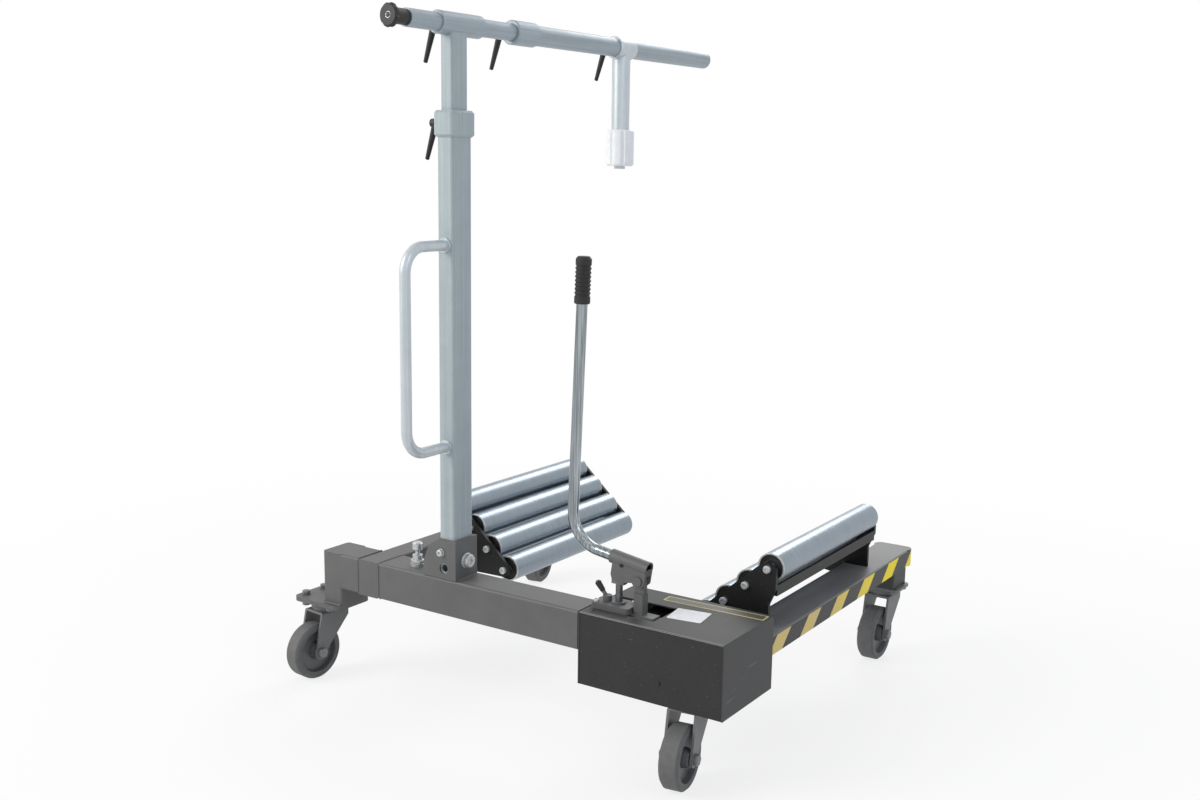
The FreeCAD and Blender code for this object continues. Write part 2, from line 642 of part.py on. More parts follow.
def caster(corner, x, y, angle):
    """One caster: its plate stays with the frame, fork and axle swivel, the wheel turns."""
    plate_bottom = caster_height - s.caster_plate_thickness
    race_bottom = plate_bottom - s.race_height
    crown_top = race_bottom - s.face_gap
    crown_bottom = crown_top - s.fork_sheet
    nut_top = crown_bottom - s.face_gap
    half_fork = s.fork_gap / 2 + s.fork_sheet
    eye = s.fork_eye_diameter / 2

    plate = new_body(f"{corner}_caster_plate")

    def draw_plate(sketch):
        half_width = s.caster_plate_width / 2
        half_depth = s.caster_plate_depth / 2
        rounded(sketch, -half_width, -half_depth, half_width, half_depth, s.caster_plate_corner)
        for side in (-1, 1):
            for end in (-1, 1):
                circle(sketch, s.caster_bolt_width / 2 * side, s.caster_bolt_depth / 2 * end,
                       s.caster_bolt_hole / 2)

    add(plate, "XY_Plane", plate_bottom, s.caster_plate_thickness, draw_plate)
    turn(plate, "XZ_Plane", "V_Axis", [
        (0, plate_bottom),
        (s.race_diameter / 2, plate_bottom),
        (s.race_diameter / 2, race_bottom),
        (s.king_pin_diameter / 2, race_bottom),
        (s.king_pin_diameter / 2, nut_top),
        (s.king_nut_diameter / 2, nut_top),
        (s.king_nut_diameter / 2, nut_top - s.king_nut_height),
        (0, nut_top - s.king_nut_height),
    ])
    put(plate, x, y)

    fork = new_body(f"{corner}_fork_sheet")
    add(fork, "YZ_Plane", -half_fork, half_fork * 2, lambda sketch: polygon(sketch, [
        (-s.fork_head_front, crown_top),
        (-s.caster_trail - eye * 0.9, wheel_radius),
        (-s.caster_trail + eye * 0.85, wheel_radius),
        (s.fork_head_back, crown_top - s.fork_skirt),
        (s.fork_head_back, crown_top),
    ]))
    add(fork, "YZ_Plane", -half_fork, half_fork * 2,
        lambda sketch: circle(sketch, -s.caster_trail, wheel_radius, eye))
    fork_reach = s.caster_trail + s.fork_eye_diameter
    cut(fork, "XZ_Plane", -fork_reach, fork_reach + s.fork_head_back * 2,
        lambda sketch: rectangle(sketch, -s.fork_gap / 2, 0, s.fork_gap / 2, crown_bottom))
    break_edges(fork, "Fillet", s.fork_sheet,
                lambda box: near(box.ZMin, crown_top) and near(box.XMin, box.XMax)
                and near(abs(box.XMin), half_fork))
    cut(fork, "XY_Plane", crown_bottom, s.fork_sheet,
        lambda sketch: circle(sketch, 0, 0, s.king_pin_diameter / 2 + s.running_gap))
    cut(fork, "YZ_Plane", -half_fork, half_fork * 2,
        lambda sketch: circle(sketch, -s.caster_trail, wheel_radius, s.wheel_axle_diameter / 2))
    turned = Rotation(Vector(0, 0, 1), sized(angle).value)
    fork.Placement = Placement(Vector(sized(x).value, sized(y).value, 0), turned)
    axle_shift = Placement(Vector(0, -s.caster_trail.value, wheel_radius.value), Rotation())
    axle_place = fork.Placement * axle_shift

    axle = new_body(f"{corner}_axle")
    head = s.axle_head_diameter / 2
    rod = s.wheel_axle_diameter / 2
    turn(axle, "XZ_Plane", "H_Axis", [
        (-half_fork - s.axle_head_height, 0),
        (-half_fork - s.axle_head_height, head),
        (-half_fork, head),
        (-half_fork, rod),
        (half_fork, rod),
        (half_fork, head),
        (half_fork + s.axle_head_height, head),
        (half_fork + s.axle_head_height, 0),
    ])
    axle.Placement = axle_place

    wheel = new_body(f"{corner}_wheel")
    half_hub = s.wheel_hub_length / 2
    half_tread = s.wheel_width / 2
    bore = rod + s.running_gap
    rim = wheel_radius - s.tread_depth
    side = [
        (half_hub, bore),
        (half_hub, s.wheel_hub_diameter / 2),
        (s.wheel_web / 2, s.wheel_hub_diameter / 2 + 3),
        (s.wheel_web / 2, rim - 3),
        (half_tread - 1, rim),
        (half_tread, wheel_radius - s.tread_chamfer),
        (half_tread - s.tread_chamfer, wheel_radius),
    ]
    other = [(-along, radius) for along, radius in reversed(side)]
    turn(wheel, "XZ_Plane", "H_Axis", side + other)
    wheel.Placement = axle_place

    return plate, group(f"{corner}_fork", [fork, axle]), wheel


casters = {
    "front_left": caster("front_left", left_swivel_x, beam_y, s.front_left_angle),
    "rear_left": caster("rear_left", left_swivel_x, rear_foot_y, s.rear_left_angle),
    "front_right": caster("front_right", front_swivel_x, front_swivel_y, s.front_right_angle),
    "rear_right": caster("rear_right", right_arm_middle, rear_swivel_y, 0),
}
left_caster_plates = group("left_caster_plates", [casters["front_left"][0], casters["rear_left"][0]])
right_caster_plates = group("right_caster_plates", [casters["front_right"][0], casters["rear_right"][0]])


# Left half of the frame

front_beam = new_body("front_beam")
add(front_beam, "YZ_Plane", s.left_arm_face, s.beam_length,
    lambda sketch: square_tube(sketch, s.front_face, beam_bottom, s.front_face + s.beam_size,
                               frame_top, s.beam_corner, s.beam_wall))
cut(front_beam, "XY_Plane", frame_top - s.beam_wall * 1.5, s.beam_wall * 2,
    lambda sketch: circle(sketch, plunger_x, beam_y, s.plunger_pin / 2 + s.running_gap))

left_arm = new_body("left_arm")
add(left_arm, "XZ_Plane", s.front_face, s.left_arm_length,
    lambda sketch: square_tube(sketch, left_arm_left, beam_bottom, s.left_arm_face, frame_top,
                               s.beam_corner, s.beam_wall))
for end in (s.front_face, left_arm_back - s.beam_wall):
    add(left_arm, "XZ_Plane", end, s.beam_wall,
        lambda sketch: rounded(sketch, left_arm_left, beam_bottom, s.left_arm_face, frame_top,
                               s.beam_corner))


def foot(label, y):
    """Outrigger of the left arm: pad on the caster, hollow post, stub to the arm."""
    body = new_body(label)
    half = s.beam_size / 2
    pad_top = caster_height + s.foot_pad_thickness

    def draw_pad(sketch):
        rounded(sketch, left_swivel_x - s.foot_pad_overhang, y - s.foot_pad_depth / 2,
                foot_post_right, y + s.foot_pad_depth / 2, s.foot_pad_corner)
        for side in (-1, 1):
            for end in (-1, 1):
                circle(sketch, left_swivel_x + s.caster_bolt_width / 2 * side,
                       y + s.caster_bolt_depth / 2 * end, s.caster_bolt_hole / 2)

    add(body, "XY_Plane", caster_height, s.foot_pad_thickness, draw_pad)
    add(body, "XY_Plane", pad_top, frame_top - pad_top,
        lambda sketch: rounded(sketch, foot_post_left, y - half, foot_post_right, y + half, s.beam_corner))
    add(body, "YZ_Plane", foot_post_right - s.beam_corner, s.stub_length + s.beam_corner,
        lambda sketch: rounded(sketch, y - half, beam_bottom, y + half, frame_top, s.beam_corner))
    cut(body, "YZ_Plane", foot_post_left + s.beam_wall, s.foot_post_width + s.stub_length - s.beam_wall,
        lambda sketch: rounded(sketch, y - half + s.beam_wall, beam_bottom + s.beam_wall,
                               y + half - s.beam_wall, frame_top - s.beam_wall,
                               s.beam_corner - s.beam_wall))
    return body


left_feet = group("left_feet", [foot("front_foot", beam_y), foot("rear_foot", rear_foot_y)])

# Mast bracket: two gussets and a side plate, welded to the top of the beam
mast_bracket = new_body("mast_bracket")
bracket_top = frame_top + s.bracket_height
bracket_right = mast_right + s.bracket_side
bracket_hole_x = mast_x - s.bracket_hole_offset
bracket_hole_z = frame_top + s.bracket_hole_height
front_bolt_x = mast_x - s.front_bolt_offset
front_bolt_z = frame_top + s.front_bolt_height
side_bolt_z = frame_top + s.side_bolt_height


def draw_gusset(sketch):
    polygon(sketch, [
        (mast_left - s.bracket_foot, frame_top),
        (bracket_right, frame_top),
        (bracket_right, bracket_top),
        (mast_left + 3, bracket_top),
        (mast_left - s.bracket_foot * 0.64, bracket_top - s.bracket_height * 0.24),
        (mast_left - s.bracket_foot * 0.93, bracket_top - s.bracket_height * 0.6),
    ])


add(mast_bracket, "XZ_Plane", s.front_face, s.bracket_plate, draw_gusset)
add(mast_bracket, "YZ_Plane", mast_right, s.bracket_side,
    lambda sketch: rectangle(sketch, s.front_face, frame_top,
                             mast_back + s.bracket_plate + s.bracket_side_back, bracket_top))
add(mast_bracket, "XZ_Plane", mast_back, s.bracket_plate, draw_gusset)
cut(mast_bracket, "XZ_Plane", s.front_face, s.bracket_plate,
    lambda sketch: circle(sketch, bracket_hole_x, bracket_hole_z, s.bracket_hole / 2))
cut(mast_bracket, "XZ_Plane", s.front_face, s.bracket_plate,
    lambda sketch: circle(sketch, front_bolt_x, front_bolt_z, s.front_bolt_diameter / 2 + s.bolt_fit))
cut(mast_bracket, "YZ_Plane", mast_right, s.bracket_side,
    lambda sketch: circle(sketch, mast_y, side_bolt_z, s.side_bolt_diameter / 2 + s.bolt_fit))


def bolt(label, plane, diameter, direction):
    """A bolt with washer and head. Its shank starts at the origin and runs inwards."""
    body = new_body(label)
    shank = diameter / 2
    turn(body, plane, "H_Axis", [
        (s.bolt_length * direction, 0),
        (s.bolt_length * direction, shank),
        (0, shank),
        (0, diameter),
        (shank * -0.3 * direction, diameter),
        (shank * -0.3 * direction, diameter * 0.85),
        (shank * -1.3 * direction, diameter * 0.8),
        (shank * -1.3 * direction, 0),
    ])
    return body


front_bolt = bolt("front_bolt", "YZ_Plane", s.front_bolt_diameter, 1)
put(front_bolt, front_bolt_x, s.front_face, front_bolt_z)
side_bolt = bolt("side_bolt", "XZ_Plane", s.side_bolt_diameter, -1)
put(side_bolt, bracket_right, mast_y, side_bolt_z)
bracket_bolts = group("bracket_bolts", [front_bolt, side_bolt])

# Index plunger on the beam. Its pin is shown drawn out and drops into the inner beam.
plunger_body = new_body("plunger_body")
plunger_bore = s.plunger_pin / 2 + s.running_gap
turn(plunger_body, "XZ_Plane", "V_Axis", [
    (plunger_bore, 0),
    (s.plunger_base / 2, 0),
    (s.plunger_base / 2, s.plunger_base_height),
    (s.plunger_neck / 2, s.plunger_base_height + 2),
    (s.plunger_neck / 2, s.plunger_body_height),
    (plunger_bore, s.plunger_body_height),
])
put(plunger_body, plunger_x, beam_y, frame_top)
plunger_pin = new_body("plunger_pin")
knob_low = s.plunger_body_height + s.plunger_travel + s.face_gap
knob_high = knob_low + s.plunger_knob_height
turn(plunger_pin, "XZ_Plane", "V_Axis", [
    (0, -s.beam_wall),
    (s.plunger_pin / 2, -s.beam_wall),
    (s.plunger_pin / 2, knob_low),
    (s.plunger_knob / 2 - 2, knob_low),
    (s.plunger_knob / 2, knob_low + 3),
    (s.plunger_knob / 2, knob_high - 3),
    (s.plunger_knob / 2 - 3, knob_high),
    (0, knob_high),
])
put(plunger_pin, plunger_x, beam_y, frame_top)

# Ram rod with its piston, fixed to the left arm inside the beam
ram_left = block_left - ram_length
rod_end = block_left - s.ram_cap - s.ram_piston_stop - s.ram_piston_length - s.left_arm_face
ram_rod = new_body("ram_rod")
turn(ram_rod, "XZ_Plane", "H_Axis", [
    (0, 0),
    (0, s.ram_flange_diameter / 2),
    (s.ram_flange_thickness, s.ram_flange_diameter / 2),
    (s.ram_flange_thickness, s.ram_rod_diameter / 2),
    (rod_end, s.ram_rod_diameter / 2),
    (rod_end, s.ram_bore / 2 - s.running_gap),
    (rod_end + s.ram_piston_length, s.ram_bore / 2 - s.running_gap),
    (rod_end + s.ram_piston_length, 0),
])
put(ram_rod, s.left_arm_face, beam_y, beam_middle)
ram_cylinder = new_body("ram_cylinder")
gland_bore = s.ram_rod_diameter / 2 + s.running_gap
turn(ram_cylinder, "XZ_Plane", "H_Axis", [
    (0, gland_bore),
    (0, s.ram_outer / 2),
    (ram_length, s.ram_outer / 2),
    (ram_length, 0),
    (ram_length - s.ram_cap, 0),
    (ram_length - s.ram_cap, s.ram_bore / 2),
    (s.ram_gland, s.ram_bore / 2),
    (s.ram_gland, gland_bore),
])
put(ram_cylinder, ram_left, beam_y, beam_middle)


# Roller banks

bank_front = roller_front - s.roller_side_gap - s.bank_plate
bank_inside = s.roller_length + s.roller_side_gap * 2
bank_length = bank_inside + s.bank_plate * 2
step_x = s.roller_pitch * cosine(s.bank_angle)
step_z = s.roller_pitch * sine(s.bank_angle)


def roller_bank(side, top_x, outward, foot_points):
    """End plates, tie strip, axles and rollers of one bank. Roller 4 is the top one."""
    axles_at = [(top_x - step_x * (outward * drop), bank_top - step_z * drop)
                for drop in (3, 2, 1, 0)]
    low_x, low_z = axles_at[0]
    lift_x = s.bank_margin * sine(s.bank_angle) * -outward
    lift_z = s.bank_margin * cosine(s.bank_angle)
    toe = s.bank_toe

    def draw_plate(sketch):
        polygon(sketch, [
            (low_x - toe * (0.25 * -outward), low_z - toe),
            (low_x - toe * outward, low_z - toe * 0.5),
            (low_x - toe * (0.9 * outward), low_z + toe * 0.4),
            (low_x + lift_x, low_z + lift_z),
            (top_x + lift_x, bank_top + lift_z),
            (top_x - toe * (0.1 * outward), bank_top + toe * 0.9),
            (top_x + s.bank_edge * outward, bank_top + toe * 0.15),
            (top_x + s.bank_edge * outward, bank_top - s.bank_waist),
        ] + foot_points)
        for x, z in axles_at:
            circle(sketch, x, z, s.roller_axle_diameter / 2 + s.running_gap)

    plates = []
    for end, start in (("front", bank_front), ("rear", bank_front + s.bank_plate + bank_inside)):
        plate = new_body(f"{side}_bank_{end}_plate")
        add(plate, "XZ_Plane", start, s.bank_plate, draw_plate)
        plates.append(plate)

    strip = new_body(f"{side}_bank_strip")
    strip_outer = top_x + s.bank_edge * outward
    strip_inner = strip_outer - s.strip_thickness * outward
    strip_high = bank_top - s.strip_drop
    add(strip, "XZ_Plane", bank_front + s.bank_plate, bank_inside,
        lambda sketch: rectangle(sketch, strip_inner, strip_high - s.strip_height, strip_outer, strip_high))

    axles = []
    rollers = []
    for number, (x, z) in enumerate(axles_at, start=1):
        axle = new_body(f"{side}_axle_{number}")
        head = s.roller_head_diameter / 2
        rod = s.roller_axle_diameter / 2
        turn(axle, "YZ_Plane", "H_Axis", [
            (-s.roller_head_height, 0),
            (-s.roller_head_height, head),
            (0, head),
            (0, rod),
            (bank_length, rod),
            (bank_length, head),
            (bank_length + s.roller_head_height, head),
            (bank_length + s.roller_head_height, 0),
        ])
        put(axle, x, bank_front, z)
        axles.append(axle)
        roller = new_body(f"{side}_roller_{number}")
        outer = s.roller_diameter / 2
        inner = outer - s.roller_wall
        bore = rod + s.running_gap
        disc = s.roller_inset + s.roller_disc
        turn(roller, "YZ_Plane", "H_Axis", [
            (s.roller_inset, bore),
            (s.roller_inset, inner),
            (0, inner),
            (0, outer),
            (s.roller_length, outer),
            (s.roller_length, inner),
            (s.roller_length - s.roller_inset, inner),
            (s.roller_length - s.roller_inset, bore),
            (s.roller_length - disc, bore),
            (s.roller_length - disc, inner),
            (disc, inner),
            (disc, bore),
        ])
        put(roller, x, roller_front, z)
        rollers.append(roller)
    pieces = [group(f"{side}_bank_plates", plates), strip, group(f"{side}_roller_axles", axles)]
    return pieces + rollers


left_bank = roller_bank("left", left_bank_x, -1, [
    (left_bank_x - s.bank_edge, frame_top),
    (s.left_arm_face, frame_top),
    (s.left_arm_face, beam_bottom + s.beam_corner + 4),
])
right_bank = roller_bank("right", right_bank_x, 1, [
    (right_bank_x + s.bank_heel, bank_top - s.bank_waist * 1.8),
    (right_bank_x + s.bank_heel, right_arm_top),
    (right_arm_left, right_arm_top),
    (right_arm_left, right_arm_bottom + s.beam_corner + 4),
])


# Right half of the frame

inner_beam = new_body("inner_beam")
inner_corner = s.beam_corner - s.slide_gap - 1
add(inner_beam, "YZ_Plane", inner_beam_left, right_arm_left - inner_beam_left,
    lambda sketch: square_tube(sketch, beam_y - inner_beam_half, beam_middle - inner_beam_half,
                               beam_y + inner_beam_half, beam_middle + inner_beam_half,
                               inner_corner, s.beam_wall))
cut(inner_beam, "XY_Plane", beam_middle + inner_beam_half - s.beam_wall * 1.5, s.beam_wall * 2,
    lambda sketch: rectangle(sketch, block_left - s.block_gap, pump_y - s.block_depth / 2 - s.block_gap,
                             block_left + s.block_width + s.block_gap,
                             pump_y + s.block_depth / 2 + s.block_gap))
cut(inner_beam, "XY_Plane", beam_middle + inner_beam_half - s.beam_wall * 1.5, s.beam_wall * 2,
    lambda sketch: circle(sketch, plunger_x, beam_y, s.plunger_pin / 2 + s.face_gap))
tank_middle = tank_left + s.tank_width / 2
nipple_z = right_arm_bottom + s.nipple_height
cut(inner_beam, "XZ_Plane", beam_y + inner_beam_half - s.beam_wall * 1.5, s.beam_wall * 2,
    lambda sketch: circle(sketch, tank_middle, nipple_z, s.nipple_diameter / 2 + s.face_gap))

right_arm = new_body("right_arm")


def draw_right_arm(sketch):
    rounded(sketch, right_arm_left, right_arm_bottom, right_arm_right, right_arm_top, s.beam_corner)


right_arm_nose_start = right_arm_end - s.right_arm_nose * 2
add(right_arm, "XZ_Plane", right_arm_front, right_arm_nose_start - right_arm_front,
    lambda sketch: square_tube(sketch, right_arm_left, right_arm_bottom, right_arm_right, right_arm_top,
                               s.beam_corner, s.beam_wall))
add(right_arm, "XZ_Plane", right_arm_front, s.beam_wall, draw_right_arm)
add(right_arm, "XY_Plane", right_arm_bottom, s.right_arm_height,
    lambda sketch: rounded(sketch, right_arm_left, right_arm_nose_start - s.beam_wall, right_arm_right,
                           right_arm_end, s.right_arm_nose))

pump_base = new_body("pump_base")
cover_back_inside = cover_back - s.cover_sheet
cover_right_inside = cover_right - s.cover_sheet
add(pump_base, "XY_Plane", right_arm_bottom - s.base_thickness, s.base_thickness,
    lambda sketch: rectangle(sketch, base_left, s.front_face + s.base_setback, cover_right_inside,
                             cover_back_inside))
add(pump_base, "XY_Plane", right_arm_bottom, beam_middle - inner_beam_half - right_arm_bottom,
    lambda sketch: rectangle(sketch, base_left, beam_y - s.saddle_depth / 2, right_arm_left,
                             beam_y + s.saddle_depth / 2))


def spacer(label, x, y, top):
    body = new_body(label)
    half = s.spacer_size / 2
    add(body, "XY_Plane", caster_height, top - caster_height,
        lambda sketch: square_tube(sketch, x - half, y - half, x + half, y + half, s.beam_corner,
                                   s.beam_wall))
    return body


caster_spacers = group("caster_spacers", [
    spacer("front_spacer", front_swivel_x, front_swivel_y, right_arm_bottom - s.base_thickness),
    spacer("rear_spacer", right_arm_middle, rear_swivel_y, right_arm_bottom),
])

pump_cover = new_body("pump_cover")
add(pump_cover, "XY_Plane", cover_bottom, frame_top - cover_bottom,
    lambda sketch: rectangle(sketch, cover_left, s.front_face, cover_right, cover_back))
break_edges(pump_cover, "Fillet", s.cover_bend,
            lambda box: (near(box.ZMin, frame_top) and not near(box.YMax, s.front_face))
            or (near(box.YMin, cover_back) and not near(box.ZMin, box.ZMax)))
cut(pump_cover, "XY_Plane", cover_bottom, frame_top - cover_bottom - s.cover_sheet,
    lambda sketch: rectangle(sketch, cover_left + s.cover_sheet, s.front_face,
                             cover_right_inside, cover_back_inside))
cut(pump_cover, "YZ_Plane", cover_left, s.cover_sheet,
    lambda sketch: rectangle(sketch, beam_y - inner_beam_half - s.cover_hole_gap,
                             beam_middle - inner_beam_half - s.cover_hole_gap,
                             beam_y + inner_beam_half + s.cover_hole_gap,
                             beam_middle + inner_beam_half + s.cover_hole_gap))
cut(pump_cover, "XZ_Plane", cover_back_inside, s.cover_sheet,
    lambda sketch: rectangle(sketch, right_arm_left - s.cover_hole_gap,
                             right_arm_bottom - s.cover_hole_gap,
                             right_arm_right + s.cover_hole_gap, right_arm_top + s.cover_hole_gap))
cut(pump_cover, "XY_Plane", frame_top - s.cover_sheet, s.cover_sheet,
    lambda sketch: rectangle(sketch, hatch_left, s.front_face + s.hatch_front,
                             hatch_left + s.hatch_width,
                             s.front_face + s.hatch_front + s.hatch_depth))

front_panel = new_body("front_panel")
add(front_panel, "XZ_Plane", s.front_face + s.panel_inset, s.cover_sheet,
    lambda sketch: rectangle(sketch, cover_left + s.cover_sheet, cover_bottom, cover_right_inside,
                             frame_top - s.cover_sheet))

oil_tank = new_body("oil_tank")
tank_front = beam_y + inner_beam_half + s.tank_gap
tank_back = cover_back_inside - s.tank_back_gap
add(oil_tank, "XY_Plane", right_arm_bottom, s.tank_height,
    lambda sketch: rounded(sketch, tank_left, tank_front, tank_left + s.tank_width, tank_back,
                           s.beam_corner))
nipple_front = pump_y + s.block_depth / 2
add(oil_tank, "XZ_Plane", nipple_front, tank_front - nipple_front,
    lambda sketch: circle(sketch, tank_middle, nipple_z, s.nipple_diameter / 2))


# Hand pump

pivot_z = frame_top + s.pivot_height
half_tongue = s.tongue_thickness / 2
half_slot = half_tongue + s.tongue_gap
half_socket = half_slot + s.cheek_thickness
pin_x = pivot_x - s.pump_arm * cosine(s.socket_angle) - s.pump_drop * sine(s.socket_angle)
pin_z = pivot_z + s.pump_arm * sine(s.socket_angle) - s.pump_drop * cosine(s.socket_angle)
head_top = frame_top + s.head_height

block = new_body("block")
add(block, "XY_Plane", inner_beam_floor, frame_top - inner_beam_floor,
    lambda sketch: rectangle(sketch, block_left, pump_y - s.block_depth / 2,
                             block_left + s.block_width, pump_y + s.block_depth / 2))
add(block, "XY_Plane", frame_top, s.head_height,
    lambda sketch: rounded(sketch, head_left, pump_y - s.head_depth / 2, head_left + s.head_width,
                           pump_y + s.head_depth / 2, s.beam_corner))
add(block, "XY_Plane", head_top, s.gland_height,
    lambda sketch: circle(sketch, pin_x, pump_y, s.gland_diameter / 2))
add(block, "XY_Plane", frame_top, s.pivot_height - s.post_shoulder,
    lambda sketch: rectangle(sketch, pivot_x - s.post_width / 2, pump_y - s.post_depth / 2,
                             pivot_x + s.post_width / 2, pump_y + s.post_depth / 2))
add(block, "XZ_Plane", pump_y - half_tongue, s.tongue_thickness,
    lambda sketch: rectangle(sketch, pivot_x - s.post_width / 2, pivot_z - s.post_shoulder,
                             pivot_x + s.post_width / 2, pivot_z))
add(block, "XZ_Plane", pump_y - half_tongue, s.tongue_thickness,
    lambda sketch: circle(sketch, pivot_x, pivot_z, s.post_width / 2 - s.face_gap))
cut(block, "XY_Plane", frame_top - s.piston_bore_depth,
    s.piston_bore_depth + s.head_height + s.gland_height,
    lambda sketch: circle(sketch, pin_x, pump_y, s.piston_diameter / 2 + s.running_gap))
cut(block, "XY_Plane", head_top - s.valve_depth, s.valve_depth,
    lambda sketch: circle(sketch, valve_x, pump_y, s.valve_spindle / 2 + s.running_gap))
cut(block, "XZ_Plane", pump_y - half_tongue, s.tongue_thickness,
    lambda sketch: circle(sketch, pivot_x, pivot_z, s.pivot_pin_diameter / 2))
pivot_pin = new_body("pivot_pin")
turn(pivot_pin, "YZ_Plane", "H_Axis", [
    (-half_socket - s.face_gap - 3, 0),
    (-half_socket - s.face_gap - 3, s.pivot_pin_diameter * 0.75),
    (-half_socket - s.face_gap, s.pivot_pin_diameter * 0.75),
    (-half_socket - s.face_gap, s.pivot_pin_diameter / 2),
    (half_socket + s.face_gap, s.pivot_pin_diameter / 2),
    (half_socket + s.face_gap, s.pivot_pin_diameter * 0.75),
    (half_socket + s.face_gap + 3, s.pivot_pin_diameter * 0.75),
    (half_socket + s.face_gap + 3, 0),
])
put(pivot_pin, pivot_x, pump_y, pivot_z)
pump_block = group("pump_block", [block, pivot_pin])

pump_piston = new_body("pump_piston")
tongue_low = pin_z - s.piston_tongue_below
add(pump_piston, "XY_Plane", frame_top - s.piston_bottom, tongue_low - frame_top + s.piston_bottom,
    lambda sketch: circle(sketch, pin_x, pump_y, s.piston_diameter / 2))
add(pump_piston, "XZ_Plane", pump_y - half_tongue, s.tongue_thickness,
    lambda sketch: rectangle(sketch, pin_x - s.piston_tongue_width / 2, tongue_low,
                             pin_x + s.piston_tongue_width / 2, pin_z + s.piston_tongue_above))
slot_half = s.piston_pin_diameter / 2 + s.piston_slot_play
slot_lift = s.piston_pin_diameter / 2 + s.piston_slot_lift
cut(pump_piston, "XZ_Plane", pump_y - half_tongue, s.tongue_thickness,
    lambda sketch: rounded(sketch, pin_x - slot_half, pin_z - slot_lift, pin_x + slot_half,
                           pin_z + slot_lift, s.piston_pin_diameter / 4))

# The socket is drawn level with its pivot at the origin, then set at the angle shown.
socket_place = Placement(Vector(pivot_x.value, pump_y.value, pivot_z.value),
                         Rotation(Vector(0, 1, 0), s.socket_angle.value))
casting = new_body("casting")
eye = s.cheek_eye / 2
pin_left = -s.pump_arm - eye
add(casting, "XZ_Plane", -half_socket, half_socket * 2, lambda sketch: polygon(sketch, [
    (pin_left, s.socket_rise),
    (pin_left, -s.pump_drop),
    (pin_left + eye * 0.4, -s.pump_drop - eye * 0.8),
    (-s.pump_arm + eye * 0.6, -s.pump_drop - eye * 0.9),
    (-eye, -eye * 0.6),
    (-eye * 0.5, -eye),
    (eye * 0.6, -eye),
    (eye * 1.1, -eye * 0.4),
    (eye * 1.1, s.socket_rise),
]))
add(casting, "YZ_Plane", -s.socket_left, s.socket_left + s.socket_right,
    lambda sketch: circle(sketch, 0, s.socket_rise, s.socket_outer / 2))
slot_top = s.post_width / 2 + s.face_gap * 4
cut(casting, "XZ_Plane", -half_slot, half_slot * 2,
    lambda sketch: rectangle(sketch, pin_left - eye, -eye * 3, eye * 3, slot_top))
cut(casting, "YZ_Plane", -s.socket_left, s.socket_left + s.socket_right,
    lambda sketch: circle(sketch, 0, s.socket_rise, s.lever_diameter / 2 + s.lever_fit))
cut(casting, "XZ_Plane", -half_socket, half_socket * 2,
    lambda sketch: circle(sketch, 0, 0, s.pivot_pin_diameter / 2 + s.running_gap))
cut(casting, "XZ_Plane", -half_socket, half_socket * 2,
    lambda sketch: circle(sketch, -s.pump_arm, -s.pump_drop, s.piston_pin_diameter / 2))
casting.Placement = socket_place
piston_pin = new_body("piston_pin")
add(piston_pin, "XZ_Plane", -half_socket, half_socket * 2,
    lambda sketch: circle(sketch, -s.pump_arm, -s.pump_drop, s.piston_pin_diameter / 2))
piston_pin.Placement = socket_place
lever_socket = group("lever_socket", [casting, piston_pin])

pump_lever = new_body("pump_lever")
turn_angle = 90 - s.lever_lean
bend_run = s.lever_bend * tangent(turn_angle / 2)
lean_x = -sine(s.lever_lean)
lean_z = cosine(s.lever_lean)
lever_corner = -s.lever_reach
bend_start = (lever_corner + bend_run, s.socket_rise)
bend_end = (lever_corner + bend_run * lean_x, s.socket_rise + bend_run * lean_z)
bend_middle = (bend_start[0], s.socket_rise + s.lever_bend)
lever_tip = (lever_corner + s.lever_upright * lean_x, s.socket_rise + s.lever_upright * lean_z)


def draw_path(sketch, points, arcs):
    """A path of lines and arcs. Each arc is given by its middle, radius and angles in degrees."""
    pieces = []
    for start, end in points:
        ends = [Vector(across.value, up.value, 0) for across, up in (start, end)]
        number = sketch.addGeometry(Part.LineSegment(*ends))
        fix_point(sketch, number, 1, *start)
        fix_point(sketch, number, 2, *end)
        pieces.append(number)
    for number, (middle, radius, begin, finish, tail) in enumerate(arcs):
        curve = Part.Circle(Vector(middle[0].value, middle[1].value, 0), Vector(0, 0, 1), radius.value)
        arc = sketch.addGeometry(Part.ArcOfCircle(curve, math.radians(begin), math.radians(finish)))
        first, second = (1, 2) if tail else (2, 1)
        sketch.addConstraint(Sketcher.Constraint("Coincident", arc, first, pieces[number], 2))
        sketch.addConstraint(Sketcher.Constraint("Coincident", arc, second, pieces[number + 1], 1))
        drive(sketch, Sketcher.Constraint("Radius", arc, radius.value), radius)


lever_spine = new_sketch(pump_lever, "XZ_Plane", 0)
draw_path(lever_spine,
          [((s.lever_insert, s.socket_rise), bend_start), (bend_end, lever_tip)],
          [(bend_middle, s.lever_bend, 180 + s.lever_lean.value, 270, False)])
lever_section = new_sketch(pump_lever, "YZ_Plane", s.lever_insert)
ring(lever_section, sized(0), s.socket_rise, s.lever_diameter / 2, s.lever_diameter / 2 - s.lever_wall)
pipe(pump_lever, lever_section, lever_spine)
pump_lever.Placement = socket_place

